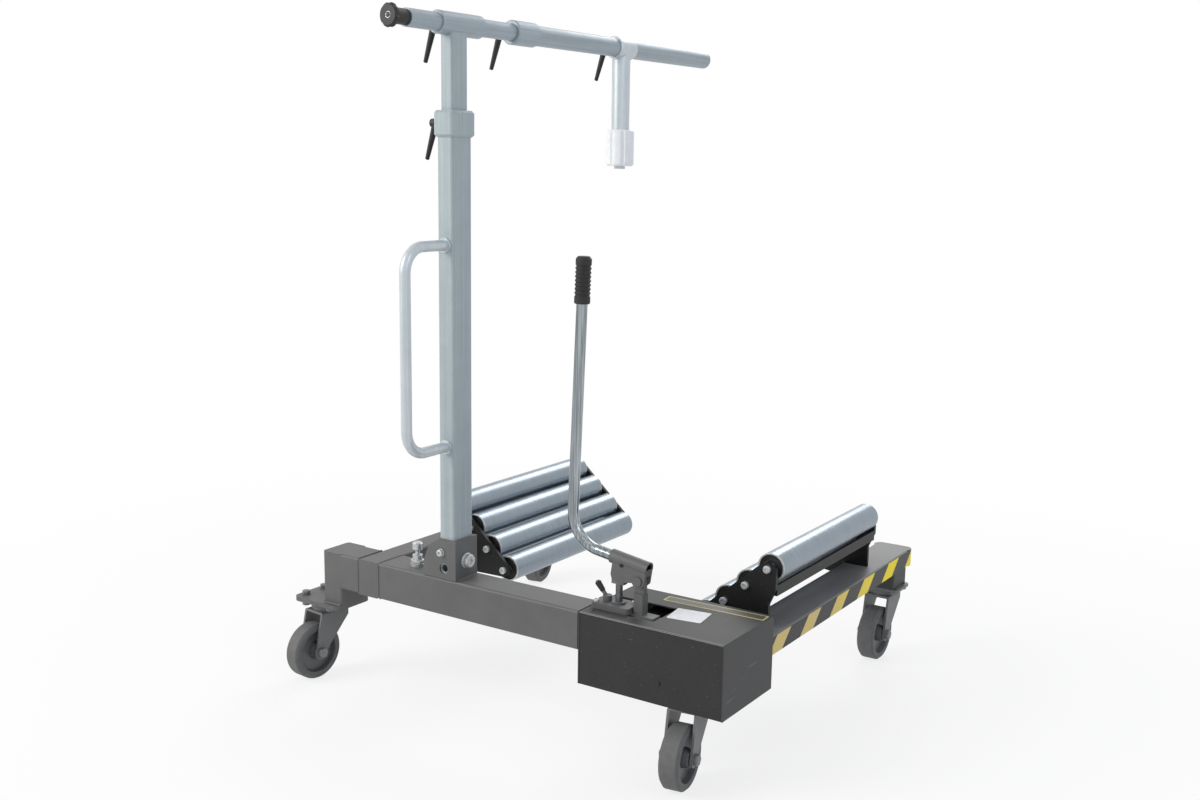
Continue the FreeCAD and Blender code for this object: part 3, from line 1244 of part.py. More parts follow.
lever_grip = new_body("lever_grip")
bore = s.lever_diameter / 2
outer = s.grip_diameter / 2
groove = s.grip_groove
rib_count = 8
rib_pitch = s.grip_length * 0.7 / rib_count
profile = [(bore, 0), (outer - 1, 0), (outer, 2)]
for rib in range(rib_count):
    low = s.grip_length * 0.15 + rib_pitch * rib
    profile += [(outer, low), (outer - groove, low + rib_pitch * 0.2),
                (outer - groove, low + rib_pitch * 0.5), (outer, low + rib_pitch * 0.7)]
profile += [(outer, s.grip_length - 5), (outer - 4, s.grip_length), (0, s.grip_length),
            (0, s.grip_length - s.grip_end), (bore, s.grip_length - s.grip_end)]
turn(lever_grip, "XZ_Plane", "V_Axis", profile)
grip_start = s.lever_upright - s.grip_length + s.grip_end
grip_at = Vector((lever_corner + grip_start * lean_x).value, 0, (s.socket_rise + grip_start * lean_z).value)
lever_grip.Placement = socket_place * Placement(grip_at, Rotation(Vector(0, 1, 0), -s.lever_lean.value))


# Pieces made from plain solids

def cylinder(radius, height, base=(0, 0, 0), axis=(0, 0, 1), tilt=0):
    item = doc.addObject("Part::Cylinder", "Cylinder")
    for name, amount in (("Radius", sized(radius)), ("Height", sized(height))):
        setattr(item, name, amount.value)
        item.setExpression(name, amount.text)
    item.Placement.Rotation = Rotation(Vector(*axis), sized(tilt).value)
    return put(item, *base)


def cone(bottom, top, height, base=(0, 0, 0), axis=(0, 1, 0), tilt=0):
    item = doc.addObject("Part::Cone", "Cone")
    for name, amount in (("Radius1", sized(bottom)), ("Radius2", sized(top)), ("Height", sized(height))):
        setattr(item, name, amount.value)
        item.setExpression(name, amount.text)
    item.Placement.Rotation = Rotation(Vector(*axis), sized(tilt).value)
    return put(item, *base)


def sphere(radius, base):
    item = doc.addObject("Part::Sphere", "Sphere")
    item.Radius = radius.value
    item.setExpression("Radius", radius.text)
    return put(item, *base)


def fuse(label, items):
    whole = doc.addObject("Part::MultiFuse", label)
    whole.Label = label
    whole.Shapes = items
    return whole


handle_dx = -s.valve_handle_length * sine(s.valve_handle_angle)
handle_dz = s.valve_handle_length * cosine(s.valve_handle_angle)
handle_from = s.valve_hub_height * 0.5
release_valve = fuse("release_valve", [
    cylinder(s.valve_spindle / 2, s.valve_depth, (0, 0, s.face_gap - s.valve_depth)),
    cylinder(s.valve_hub / 2, s.valve_hub_height, (0, 0, s.face_gap)),
    cylinder(s.valve_handle / 2, s.valve_handle_length, (0, 0, handle_from), (0, 1, 0),
             -s.valve_handle_angle),
    sphere(s.valve_knob / 2, (handle_dx, 0, handle_from + handle_dz)),
])
put(release_valve, valve_x, pump_y, head_top)


def clamp_lever(label, x, y, z, screw_length):
    """Adjustable clamp lever. Its screw points to +X, the handle hangs down."""
    hub_left = -s.face_gap - s.clamp_hub_length
    lever = fuse(label, [
        cylinder(s.clamp_hub / 2, s.clamp_hub_length, (hub_left, 0, 0), (0, 1, 0), 90),
        cylinder(s.clamp_screw / 2, screw_length + s.face_gap, (-s.face_gap, 0, 0), (0, 1, 0), 90),
        cone(s.clamp_handle_top / 2, s.clamp_handle_tip / 2, s.clamp_handle_length,
             (hub_left * 0.6, 0, 0), (0, 1, 0), 180 + s.clamp_handle_angle),
    ])
    return put(lever, x, y, z)


# Mast

mast_tube = new_body("mast_tube")
add(mast_tube, "XY_Plane", frame_top, mast_top - frame_top,
    lambda sketch: square_tube(sketch, mast_left, mast_front, mast_right, mast_back, s.mast_corner,
                               s.mast_wall))
cut(mast_tube, "XZ_Plane", mast_front, s.mast_wall * 2,
    lambda sketch: circle(sketch, front_bolt_x, front_bolt_z, s.front_bolt_diameter / 2 + s.bolt_fit))
cut(mast_tube, "XZ_Plane", mast_front, s.mast_wall * 2,
    lambda sketch: circle(sketch, bracket_hole_x, bracket_hole_z, s.bracket_hole / 2 - s.mast_wall))
cut(mast_tube, "YZ_Plane", mast_right - s.mast_wall * 2, s.mast_wall * 2,
    lambda sketch: circle(sketch, mast_y, side_bolt_z, s.side_bolt_diameter / 2 + s.bolt_fit))

mast_collar = new_body("mast_collar")
inner_left = mast_x - s.mast_inner_width / 2
inner_right = mast_x + s.mast_inner_width / 2
inner_front = mast_y - s.mast_inner_depth / 2
inner_back = mast_y + s.mast_inner_depth / 2
collar_screw_z = collar_top - s.collar_screw_drop
collar_boss = mast_left - s.collar_wall - s.boss_height
add(mast_collar, "XY_Plane", collar_bottom, s.collar_height,
    lambda sketch: rounded(sketch, mast_left - s.collar_wall, mast_front - s.collar_wall,
                           mast_right + s.collar_wall, mast_back + s.collar_wall, s.mast_corner * 1.5))
break_edges(mast_collar, "Chamfer", s.collar_chamfer,
            lambda box: near(box.ZMin, box.ZMax)
            and (near(box.ZMin, collar_bottom) or near(box.ZMin, collar_top)))
add(mast_collar, "YZ_Plane", collar_boss, s.boss_height + 1,
    lambda sketch: circle(sketch, mast_y, collar_screw_z, s.boss_diameter / 2))
cut(mast_collar, "XY_Plane", collar_bottom, mast_top - collar_bottom,
    lambda sketch: rounded(sketch, mast_left, mast_front, mast_right, mast_back, s.mast_corner))
cut(mast_collar, "XY_Plane", mast_top, collar_top - mast_top,
    lambda sketch: rounded(sketch, inner_left - s.mast_fit, inner_front - s.mast_fit,
                           inner_right + s.mast_fit, inner_back + s.mast_fit, s.mast_corner * 0.8))
cut(mast_collar, "YZ_Plane", collar_boss, inner_left - collar_boss,
    lambda sketch: circle(sketch, mast_y, collar_screw_z, s.clamp_screw / 2 + s.running_gap))
mast_clamp_lever = clamp_lever("mast_clamp_lever", collar_boss, mast_y, collar_screw_z,
                               inner_left - s.mast_fit - collar_boss)

mast_handle = new_body("mast_handle")
handle_turn = mast_front - s.handle_reach + s.handle_bend
handle_axis = mast_front - s.handle_reach
handle_top_bend = handle_high - s.handle_bend
handle_low_bend = handle_low + s.handle_bend
handle_spine = new_sketch(mast_handle, "YZ_Plane", mast_x)
draw_path(handle_spine,
          [((mast_front, handle_high), (handle_turn, handle_high)),
           ((handle_axis, handle_top_bend), (handle_axis, handle_low_bend)),
           ((handle_turn, handle_low), (mast_front, handle_low))],
          [((handle_turn, handle_top_bend), s.handle_bend, 90, 180, True),
           ((handle_turn, handle_low_bend), s.handle_bend, 180, 270, True)])
handle_section = new_sketch(mast_handle, "XZ_Plane", mast_front)
ring(handle_section, mast_x, handle_high, s.handle_diameter / 2, s.handle_diameter / 2 - s.handle_wall)
pipe(mast_handle, handle_section, handle_spine)
for leg in (handle_low, handle_high):
    add(mast_handle, "XZ_Plane", mast_front - s.handle_ring_length, s.handle_ring_length,
        lambda sketch: circle(sketch, mast_x, leg, s.handle_ring / 2))

mast_inner_tube = new_body("mast_inner_tube")
tee_radius = s.tee_diameter / 2
add(mast_inner_tube, "XY_Plane", mast_inner_bottom, bar_height - mast_inner_bottom,
    lambda sketch: square_tube(sketch, inner_left, inner_front, inner_right, inner_back,
                               s.mast_corner * 0.8, s.mast_wall))
cut(mast_inner_tube, "XZ_Plane", inner_front, s.mast_inner_depth,
    lambda sketch: circle(sketch, mast_x, bar_height, tee_radius))


def sleeve(body, start, length, outer, bore, screw_y):
    """A round sleeve on the cross bar with a boss for its clamp screw on the -X side."""
    boss_face = mast_x - outer - s.boss_height
    add(body, "XZ_Plane", start, length, lambda sketch: circle(sketch, mast_x, bar_height, outer))
    break_edges(body, "Chamfer", s.sleeve_chamfer, lambda box: near(box.YMin, box.YMax))
    add(body, "YZ_Plane", boss_face, s.boss_height + outer - bore,
        lambda sketch: circle(sketch, screw_y, bar_height, s.boss_diameter / 2))
    return boss_face


def bore_sleeve(body, start, length, bore, boss_face, reach, screw_y):
    cut(body, "XZ_Plane", start, length, lambda sketch: circle(sketch, mast_x, bar_height, bore))
    cut(body, "YZ_Plane", boss_face, reach,
        lambda sketch: circle(sketch, screw_y, bar_height, s.clamp_screw / 2 + s.running_gap))


tee_sleeve = new_body("tee_sleeve")
tee_screw_y = tee_front + s.tee_screw_setback
tee_boss = sleeve(tee_sleeve, tee_front, s.tee_length, tee_radius, inner_bore, tee_screw_y)
bore_sleeve(tee_sleeve, tee_front, s.tee_length, inner_bore, tee_boss,
            s.boss_height + tee_radius - inner_bore * 0.9, tee_screw_y)
tee_clamp_lever = clamp_lever("tee_clamp_lever", tee_boss, tee_screw_y, bar_height,
                              s.boss_height + tee_radius - inner_bore)

bar_inner_tube = new_body("bar_inner_tube")
add(bar_inner_tube, "XZ_Plane", bar_front, inner_bar_back - bar_front,
    lambda sketch: ring(sketch, mast_x, bar_height, inner_bar_radius, inner_bar_radius - s.bar_wall))

bar_knob = new_body("bar_knob")
knob_back = bar_front - s.knob_hub_length
knob_front = knob_back - s.knob_thickness
turn(bar_knob, "YZ_Plane", "H_Axis", [
    (knob_front, s.knob_bore / 2),
    (knob_front, s.knob_diameter / 2 - 4),
    (knob_front + 4, s.knob_diameter / 2),
    (knob_back - 4, s.knob_diameter / 2),
    (knob_back, s.knob_diameter / 2 - 4),
    (knob_back, s.knob_hub / 2),
    (bar_front, s.knob_hub / 2),
    (bar_front, inner_bar_radius - s.bar_wall),
    (bar_front + s.plug_insert, inner_bar_radius - s.bar_wall),
    (bar_front + s.plug_insert, s.knob_bore / 2),
])
knob_flute = cut(bar_knob, "XZ_Plane", knob_front, s.knob_thickness,
                 lambda sketch: circle(sketch, 0, s.knob_diameter / 2 + s.knob_flute * 0.3,
                                       s.knob_flute / 2))
repeat_round(bar_knob, knob_flute, s.knob_flutes)
put(bar_knob, mast_x, 0, bar_height)

outer_bar = new_body("outer_bar")
add(outer_bar, "XZ_Plane", outer_bar_front, outer_bar_back - outer_bar_front,
    lambda sketch: ring(sketch, mast_x, bar_height, outer_bar_radius, outer_bar_radius - s.bar_wall))
bar_collar = new_body("bar_collar")
bar_collar_radius = s.bar_collar_diameter / 2
bar_screw_y = bar_collar_front + s.bar_screw_setback
bar_boss = sleeve(bar_collar, bar_collar_front, s.bar_collar_length, bar_collar_radius, inner_bore,
                  bar_screw_y)
cut(bar_collar, "XZ_Plane", outer_bar_front, bar_collar_back - outer_bar_front,
    lambda sketch: circle(sketch, mast_x, bar_height, outer_bar_radius))
bore_sleeve(bar_collar, bar_collar_front, s.bar_collar_seat, inner_bore, bar_boss,
            s.boss_height + bar_collar_radius - inner_bore * 0.9, bar_screw_y)
bar_plug = new_body("bar_plug")
turn(bar_plug, "YZ_Plane", "H_Axis", [
    (outer_bar_back - s.plug_insert, 0),
    (outer_bar_back - s.plug_insert, outer_bar_radius - s.bar_wall),
    (outer_bar_back, outer_bar_radius - s.bar_wall),
    (outer_bar_back, outer_bar_radius),
    (outer_bar_back + s.plug_thickness * 0.6, outer_bar_radius),
    (outer_bar_back + s.plug_thickness, outer_bar_radius - s.plug_thickness * 0.4),
    (outer_bar_back + s.plug_thickness, 0),
])
put(bar_plug, mast_x, 0, bar_height)
bar_outer_tube = group("bar_outer_tube", [outer_bar, bar_collar, bar_plug])
bar_clamp_lever = clamp_lever("bar_clamp_lever", bar_boss, bar_screw_y, bar_height,
                              s.boss_height + bar_collar_radius - inner_bore)

hanger = new_body("hanger")
hanger_radius = s.hanger_diameter / 2
hanger_front = hanger_y - s.hanger_length / 2
hanger_tube_radius = s.hanger_tube / 2
hanger_bore = outer_bar_radius + s.bar_fit
hanger_boss = sleeve(hanger, hanger_front, s.hanger_length, hanger_radius, hanger_bore, hanger_y)
add(hanger, "XY_Plane", hanger_bottom, bar_height - hanger_bottom,
    lambda sketch: circle(sketch, mast_x, hanger_y, hanger_tube_radius))
spindle_length = s.guide_length + s.face_gap * 2
add(hanger, "XY_Plane", hanger_bottom - spindle_length, spindle_length,
    lambda sketch: circle(sketch, mast_x, hanger_y, s.spindle_diameter / 2))
bore_sleeve(hanger, hanger_front, s.hanger_length, hanger_bore, hanger_boss,
            s.boss_height + hanger_radius - hanger_bore * 0.9, hanger_y)
hanger_hollow = hanger_bottom + s.hanger_floor
cut(hanger, "XY_Plane", hanger_hollow, bar_height - hanger_radius - hanger_hollow,
    lambda sketch: circle(sketch, mast_x, hanger_y, hanger_tube_radius - s.hanger_tube_wall))
guide_bolt = new_body("guide_bolt")
guide_bolt_top = hanger_bottom - spindle_length
add(guide_bolt, "XY_Plane", guide_bolt_top - s.guide_bolt_height, s.guide_bolt_height,
    lambda sketch: circle(sketch, mast_x, hanger_y, s.guide_bolt_diameter / 2))
hanger_clamp = group("hanger_clamp", [hanger, guide_bolt])
hanger_clamp_lever = clamp_lever("hanger_clamp_lever", hanger_boss, hanger_y, bar_height,
                                 s.boss_height + hanger_radius - hanger_bore)

guide_sleeve = new_body("guide_sleeve")
guide_radius = s.guide_diameter / 2
guide_bore = s.spindle_diameter / 2 + s.running_gap
turn(guide_sleeve, "XZ_Plane", "V_Axis", [
    (guide_bore, 0),
    (guide_radius - s.guide_chamfer, 0),
    (guide_radius, s.guide_chamfer),
    (guide_radius, s.guide_length - s.guide_chamfer),
    (guide_radius - s.guide_chamfer, s.guide_length),
    (guide_bore, s.guide_length),
])
guide_cut = cut(guide_sleeve, "XY_Plane", 0, s.guide_length,
                lambda sketch: circle(sketch, guide_radius + s.guide_flute / 2 - s.guide_flute_depth, 0,
                                      s.guide_flute / 2))
repeat_round(guide_sleeve, guide_cut, s.guide_flutes)
put(guide_sleeve, mast_x, hanger_y, hanger_bottom - s.face_gap - s.guide_length)


# Check every object, then write one STEP file for each node

nodes = [front_beam, left_arm, left_feet, mast_bracket, bracket_bolts, plunger_body, plunger_pin,
         ram_rod, ram_cylinder, left_caster_plates, right_caster_plates, inner_beam, right_arm,
         pump_base, caster_spacers, pump_cover, front_panel, oil_tank, pump_block, pump_piston,
         lever_socket, pump_lever, lever_grip, release_valve, mast_tube, mast_collar, mast_handle,
         mast_inner_tube, tee_sleeve, bar_outer_tube, bar_knob, bar_inner_tube, hanger_clamp,
         guide_sleeve, mast_clamp_lever, tee_clamp_lever, bar_clamp_lever, hanger_clamp_lever]
nodes += left_bank + right_bank
for plate, fork, wheel in casters.values():
    nodes += [fork, wheel]

doc.recompute()
for item in doc.Objects:
    if "Invalid" in item.State or "Error" in item.State:
        raise RuntimeError(f"{item.Label} did not compute: {item.State}")
for node in nodes:
    if node.Shape.isNull() or not node.Shape.isValid() or not node.Shape.Solids:
        raise RuntimeError(f"{node.Label} has no valid solid")

os.makedirs("parts", exist_ok=True)
for node in nodes:
    node.Shape.exportStep(f"parts/{node.Label}.step")
box = Part.makeCompound([node.Shape for node in nodes]).BoundBox
print(len(nodes), "nodes,", sum(len(node.Shape.Solids) for node in nodes), "solids")
print("box", [round(value, 1) for value in (box.XMin, box.XMax, box.YMin, box.YMax, box.ZMin, box.ZMax)])
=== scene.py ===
# %% [markdown]
# # A hydraulic wheel dolly in a plain studio
# The dolly lifts a truck wheel between two banks of rollers. Its solids come from CAD and are loaded
# as a fixed frame. Blender adds the finishes and the small things that a fitter adds last: weld beads,
# screws, bearing seals, moulded clamp levers and the hazard tape.

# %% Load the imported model
import json
import math

import bmesh
import bpy
from mathutils import Matrix, Vector


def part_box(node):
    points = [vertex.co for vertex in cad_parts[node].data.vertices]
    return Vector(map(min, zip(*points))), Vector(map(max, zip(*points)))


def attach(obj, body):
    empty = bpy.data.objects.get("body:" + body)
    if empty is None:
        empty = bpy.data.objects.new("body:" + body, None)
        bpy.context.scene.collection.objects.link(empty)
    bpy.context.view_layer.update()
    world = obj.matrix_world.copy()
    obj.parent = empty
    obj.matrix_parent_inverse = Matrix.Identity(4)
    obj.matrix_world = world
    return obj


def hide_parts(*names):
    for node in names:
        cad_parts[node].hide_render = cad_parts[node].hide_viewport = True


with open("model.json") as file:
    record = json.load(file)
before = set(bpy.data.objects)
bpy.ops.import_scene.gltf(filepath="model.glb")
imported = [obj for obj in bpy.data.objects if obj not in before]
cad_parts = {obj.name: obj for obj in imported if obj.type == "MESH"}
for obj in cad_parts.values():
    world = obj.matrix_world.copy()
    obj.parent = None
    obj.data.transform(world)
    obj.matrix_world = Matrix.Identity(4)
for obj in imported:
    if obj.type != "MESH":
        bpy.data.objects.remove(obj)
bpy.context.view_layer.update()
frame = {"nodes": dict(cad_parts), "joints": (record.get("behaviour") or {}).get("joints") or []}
nodes = frame["nodes"]
pivots = {joint["child"]: Vector(joint["pos_m"]) for joint in frame["joints"] if "pos_m" in joint}

# %% [markdown]
# ## Camera
# The camera was fitted to the straight edges of the photograph: it stands to the right of the pump,
# a little below the top of the mast, and looks slightly down. A level camera would be simpler, but the
# small roll keeps the mast leaning as it does in the picture.

# %% Camera
MM = 0.001
PHOTO_WIDTH = 1200
FOCAL_LENGTH = 1328.4  # in pixels of the photograph
SENSOR_WIDTH = 36
CAMERA_PLACE = (1.612, -2.459, 1.154)
CAMERA_TURN = 33.556  # degrees to the left of +Y
CAMERA_DOWN = 10.1456  # degrees below level
CAMERA_ROLL = 0.847  # degrees
camera = bpy.data.objects.new("camera", bpy.data.cameras.new("camera"))
bpy.context.scene.collection.objects.link(camera)
turn = Matrix.Rotation(math.radians(CAMERA_TURN), 4, "Z")
tilt = Matrix.Rotation(math.radians(90 - CAMERA_DOWN), 4, "X")
roll = Matrix.Rotation(math.radians(CAMERA_ROLL), 4, "Z")
camera.matrix_world = Matrix.Translation(CAMERA_PLACE) @ turn @ tilt @ roll
camera.data.sensor_width = SENSOR_WIDTH
camera.data.lens = FOCAL_LENGTH / PHOTO_WIDTH * SENSOR_WIDTH
bpy.context.scene.camera = camera
bpy.context.scene.view_settings.view_transform = "Standard"
print("lens", round(camera.data.lens, 2), "mm")

# %% [markdown]
# ## Finishes: helpers
# Colours are written as the sRGB hex values that a paint chart or an image editor shows, and Blender's
# shaders want linear light, so one function converts them. A second small function adds a shader node
# with its settings and links, which keeps every finish below readable as a list.

# %% Colour and node helpers
def colour(code):
    parts = [int(code[at:at + 2], 16) / 255 for at in (1, 3, 5)]
    linear = [part / 12.92 if part <= 0.04045 else ((part + 0.055) / 1.055) ** 2.4 for part in parts]
    return (*linear, 1.0)


def add_node(material, kind, inputs=None, **settings):
    node = material.node_tree.nodes.new(kind)
    for name, value in settings.items():
        setattr(node, name, value)
    for name, value in (inputs or {}).items():
        if isinstance(value, bpy.types.NodeSocket):
            material.node_tree.links.new(value, node.inputs[name])
        else:
            node.inputs[name].default_value = value
    return node


def new_finish(name):
    material = bpy.data.materials.new(name)
    material.use_nodes = True
    material.node_tree.nodes.clear()
    place = add_node(material, "ShaderNodeTexCoord").outputs["Object"]
    return material, place


def set_stops(ramp, low, high, first, last):
    """Set the two stops of a colour ramp and return its colour."""
    ramp.color_ramp.elements[0].position = low
    ramp.color_ramp.elements[1].position = high
    ramp.color_ramp.elements[0].color = first
    ramp.color_ramp.elements[1].color = last
    return ramp.outputs["Color"]


print("helpers ready")

# %% [markdown]
# ## Powder coat on the frame
# The beam, arms, feet and cover are steel with a satin powder coat. The powder melts into a skin with
# a fine orange peel about 1 mm across, too fine for this distance, so it is drawn at 3 mm. Handling
# leaves slightly duller, paler patches a hand wide, and a few fine scratches where tools were put down.
# The left half is a mid grey and the pump's cover is darker. The right arm's coat is paler, which is
# painted light that lifts the arm's top out of the shade of the roller bank. The dark coats are set to
# reflect less, because a dark pigment with less binder at its face stays matt even at a flat angle. On
# the rolled edge of the panel the coat is pale, a painted highlight along the bend.

# %% Powder coat in several depths of grey
PATCH = 110 * MM
SCRATCH_WIDTH = 2.5 * MM
SCRATCH_LENGTH = 90 * MM
PEEL_GRAIN = 3 * MM
PEEL_DEPTH = 0.4 * MM


def powder_coat(name, deep, pale, gloss, peel, index=1.5):
    material, place = new_finish(name)
    patches = add_node(material, "ShaderNodeTexNoise", {
        "Vector": place, "Scale": 1 / PATCH, "Detail": 5.0, "Roughness": 0.6})
    tone = add_node(material, "ShaderNodeValToRGB", {"Fac": patches.outputs["Fac"]})
    tone_colour = set_stops(tone, 0.32, 0.7, colour(deep), colour(pale))
    turned = add_node(material, "ShaderNodeMapping", {
        "Vector": place, "Rotation": (0.4, 0.7, 0.5),
        "Scale": (1 / SCRATCH_WIDTH, 1 / SCRATCH_LENGTH, 1 / SCRATCH_WIDTH)})
    hairs = add_node(material, "ShaderNodeTexNoise", {
        "Vector": turned.outputs["Vector"], "Scale": 1.0, "Detail": 1.0})
    scratch = add_node(material, "ShaderNodeValToRGB", {"Fac": hairs.outputs["Fac"]})
    scratch_mask = set_stops(scratch, 0.72, 0.77, (0, 0, 0, 1), (1, 1, 1, 1))
    faint = add_node(material, "ShaderNodeMath", {0: scratch_mask, 1: 0.3}, operation="MULTIPLY")
    scratched = add_node(material, "ShaderNodeMix", {
        0: faint.outputs["Value"], 6: tone_colour, 7: colour("#9a9a9a")}, data_type="RGBA")
    grain = add_node(material, "ShaderNodeTexNoise", {
        "Vector": place, "Scale": 1 / PEEL_GRAIN, "Detail": 2.0})
    dull = add_node(material, "ShaderNodeMapRange", {
        "Value": patches.outputs["Fac"], "To Min": gloss, "To Max": gloss + 0.16})
    bump = add_node(material, "ShaderNodeBump", {
        "Height": grain.outputs["Fac"], "Strength": peel, "Distance": PEEL_DEPTH})
    paint = add_node(material, "ShaderNodeBsdfPrincipled", {
        "Base Color": scratched.outputs[2], "Roughness": dull.outputs["Result"],
        "Normal": bump.outputs["Normal"], "IOR": index})
    add_node(material, "ShaderNodeOutputMaterial", {"Surface": paint.outputs["BSDF"]})
    return material


frame_coat = powder_coat("satin_grey_powder_coat", "#5a5a5a", "#646464", 0.42, 0.35)
carriage_coat = powder_coat("dark_grey_powder_coat", "#404040", "#484848", 0.46, 0.25, index=1.36)
# The right arm's paler coat is painted light on its shaded top.
arm_coat_painted_light = powder_coat("arm_grey_coat_painted_light", "#767676", "#808080", 0.46, 0.3)
panel_coat = powder_coat("near_black_powder_coat", "#2b2b2b", "#313131", 0.4, 0.25, index=1.36)
black_coat = powder_coat("black_powder_coat", "#181819", "#202021", 0.4, 0.35, index=1.36)
caster_coat = powder_coat("caster_grey_powder_coat", "#686969", "#747575", 0.4, 0.3)
# The pale edge coat is a painted highlight on the panel's rolled edge.
edge_coat_painted_highlight = powder_coat("pale_edge_coat_painted_highlight", "#8c8c8c", "#9c9c9c", 0.3, 0.2)
coats = (frame_coat, carriage_coat, arm_coat_painted_light, panel_coat, black_coat, caster_coat, edge_coat_painted_highlight)
print("coats:", [coat.name for coat in coats])

# %% [markdown]
# ## Zinc plate on tubes and rollers
# The mast, the cross bar and the rollers are steel tube with zinc. Zinc has a faint blue cast, cloudy
# patches 10 to 40 mm wide where the bath moved, and drawing lines from the tube mill that run along
# the tube. The lines are under 0.2 mm, so they are drawn 4 mm wide and long, and they carry two thirds
# of the tone. A full mirror metal would look like chrome, so the metal share is held down, as the dull
# skin of zinc scatters light. The handle on the mast and the hanger get a paler zinc than the tubes,
# which is painted light falling on them from the left, and a glossier skin. The rollers get a darker
# zinc, which is painted shade for the dark surroundings they mirror, and rings from turning instead of
# lines along them.

# %% Zinc plate
CLOUD = 45 * MM
LINE_SHARE = 0.65
LINE_DEPTH = 0.3 * MM


def zinc_plate(name, deep, pale, along, gloss, metal_share):
    material, place = new_finish(name)
    clouds = add_node(material, "ShaderNodeTexNoise", {
        "Vector": place, "Scale": 1 / CLOUD, "Detail": 6.0, "Roughness": 0.62})
    stretched = add_node(material, "ShaderNodeMapping", {"Vector": place, "Scale": along})
    lines = add_node(material, "ShaderNodeTexNoise", {
        "Vector": stretched.outputs["Vector"], "Scale": 1.0, "Detail": 3.0})
    blend = add_node(material, "ShaderNodeMix", {
        0: LINE_SHARE, 2: clouds.outputs["Fac"], 3: lines.outputs["Fac"]})
    tone = add_node(material, "ShaderNodeValToRGB", {"Fac": blend.outputs[0]})
    tone_colour = set_stops(tone, 0.3, 0.7, colour(deep), colour(pale))
    dull = add_node(material, "ShaderNodeMapRange", {
        "Value": clouds.outputs["Fac"], "To Min": gloss, "To Max": gloss + 0.2})
    bump = add_node(material, "ShaderNodeBump", {
        "Height": lines.outputs["Fac"], "Strength": 0.25, "Distance": LINE_DEPTH})
    metal = add_node(material, "ShaderNodeBsdfPrincipled", {
        "Base Color": tone_colour, "Metallic": metal_share, "Roughness": dull.outputs["Result"],
        "Normal": bump.outputs["Normal"]})
    add_node(material, "ShaderNodeOutputMaterial", {"Surface": metal.outputs["BSDF"]})
    return material


across_lines = 1 / (4 * MM)
along_lines = 1 / (350 * MM)
across_rings = 1 / (1.2 * MM)
upright = (across_lines, across_lines, along_lines)
crosswise = (across_lines, along_lines, across_lines)
ringed = (along_lines, across_rings, along_lines)
mast_zinc = zinc_plate("zinc_plate_upright", "#99a5aa", "#b1bcc0", upright, 0.36, 0.06)
# The handle's paler zinc is painted light.
handle_zinc_painted_light = zinc_plate("zinc_upright_painted_light", "#b8c1c6", "#d2d9dd", upright, 0.26, 0.4)
bar_zinc = zinc_plate("zinc_plate_crosswise", "#8e9aa1", "#a9b3ba", crosswise, 0.34, 0.3)
# The rollers' darker zinc is painted shade for the dark surroundings they mirror.
roller_zinc_painted_shade = zinc_plate("zinc_plate_rollers_painted_shade", "#808a94", "#97a2ab", ringed, 0.24, 0.8)
print("zinc:", mast_zinc.name, handle_zinc_painted_light.name, bar_zinc.name, roller_zinc_painted_shade.name)

# %% [markdown]
# ## Bright plated steel and small steel parts
# The pump lever is bright plated and polished, so it mirrors the studio with only a little clouding.
# Long streaks of darker and paler colour along it are painted reflections, and the same streaks vary
# its polish. Screws and pins are zinc in small, with a duller skin. The bolts at the casters, low down
# in the dirt, have gone grey, and the piston is ground steel with a film of oil.

# %% Bright steel, fastener zinc and oiled steel
STREAK_WIDTH = 3 * MM
STREAK_LENGTH = 160 * MM
bright_steel, place = new_finish("bright_steel_painted_reflections")
stretched = add_node(bright_steel, "ShaderNodeMapping", {
    "Vector": place, "Scale": (1 / STREAK_WIDTH, 1 / STREAK_WIDTH, 1 / STREAK_LENGTH)})
polish_and_reflection_streaks = add_node(bright_steel, "ShaderNodeTexNoise", {
    "Vector": stretched.outputs["Vector"], "Scale": 1.0, "Detail": 3.0})
# The dark and pale colours of the streaks are painted reflections.
tone = add_node(bright_steel, "ShaderNodeValToRGB", {"Fac": polish_and_reflection_streaks.outputs["Fac"]})
tone_colour = set_stops(tone, 0.36, 0.66, colour("#757d81"), colour("#abb1b5"))
dull = add_node(bright_steel, "ShaderNodeMapRange", {
    "Value": polish_and_reflection_streaks.outputs["Fac"], "To Min": 0.1, "To Max": 0.26})
steel = add_node(bright_steel, "ShaderNodeBsdfPrincipled", {
    "Base Color": tone_colour, "Metallic": 1.0, "Roughness": dull.outputs["Result"]})
add_node(bright_steel, "ShaderNodeOutputMaterial", {"Surface": steel.outputs["BSDF"]})


def small_steel(name, deep, pale, grit, roughness, metal_share):
    material, place = new_finish(name)
    clouds = add_node(material, "ShaderNodeTexNoise", {
        "Vector": place, "Scale": 1 / (grit * MM), "Detail": 3.0})
    tone = add_node(material, "ShaderNodeValToRGB", {"Fac": clouds.outputs["Fac"]})
    tone_colour = set_stops(tone, 0.3, 0.7, colour(deep), colour(pale))
    dull = add_node(material, "ShaderNodeMapRange", {
        "Value": clouds.outputs["Fac"], "To Min": roughness, "To Max": roughness + 0.12})
    steel = add_node(material, "ShaderNodeBsdfPrincipled", {
        "Base Color": tone_colour, "Metallic": metal_share, "Roughness": dull.outputs["Result"]})
    add_node(material, "ShaderNodeOutputMaterial", {"Surface": steel.outputs["BSDF"]})
    return material


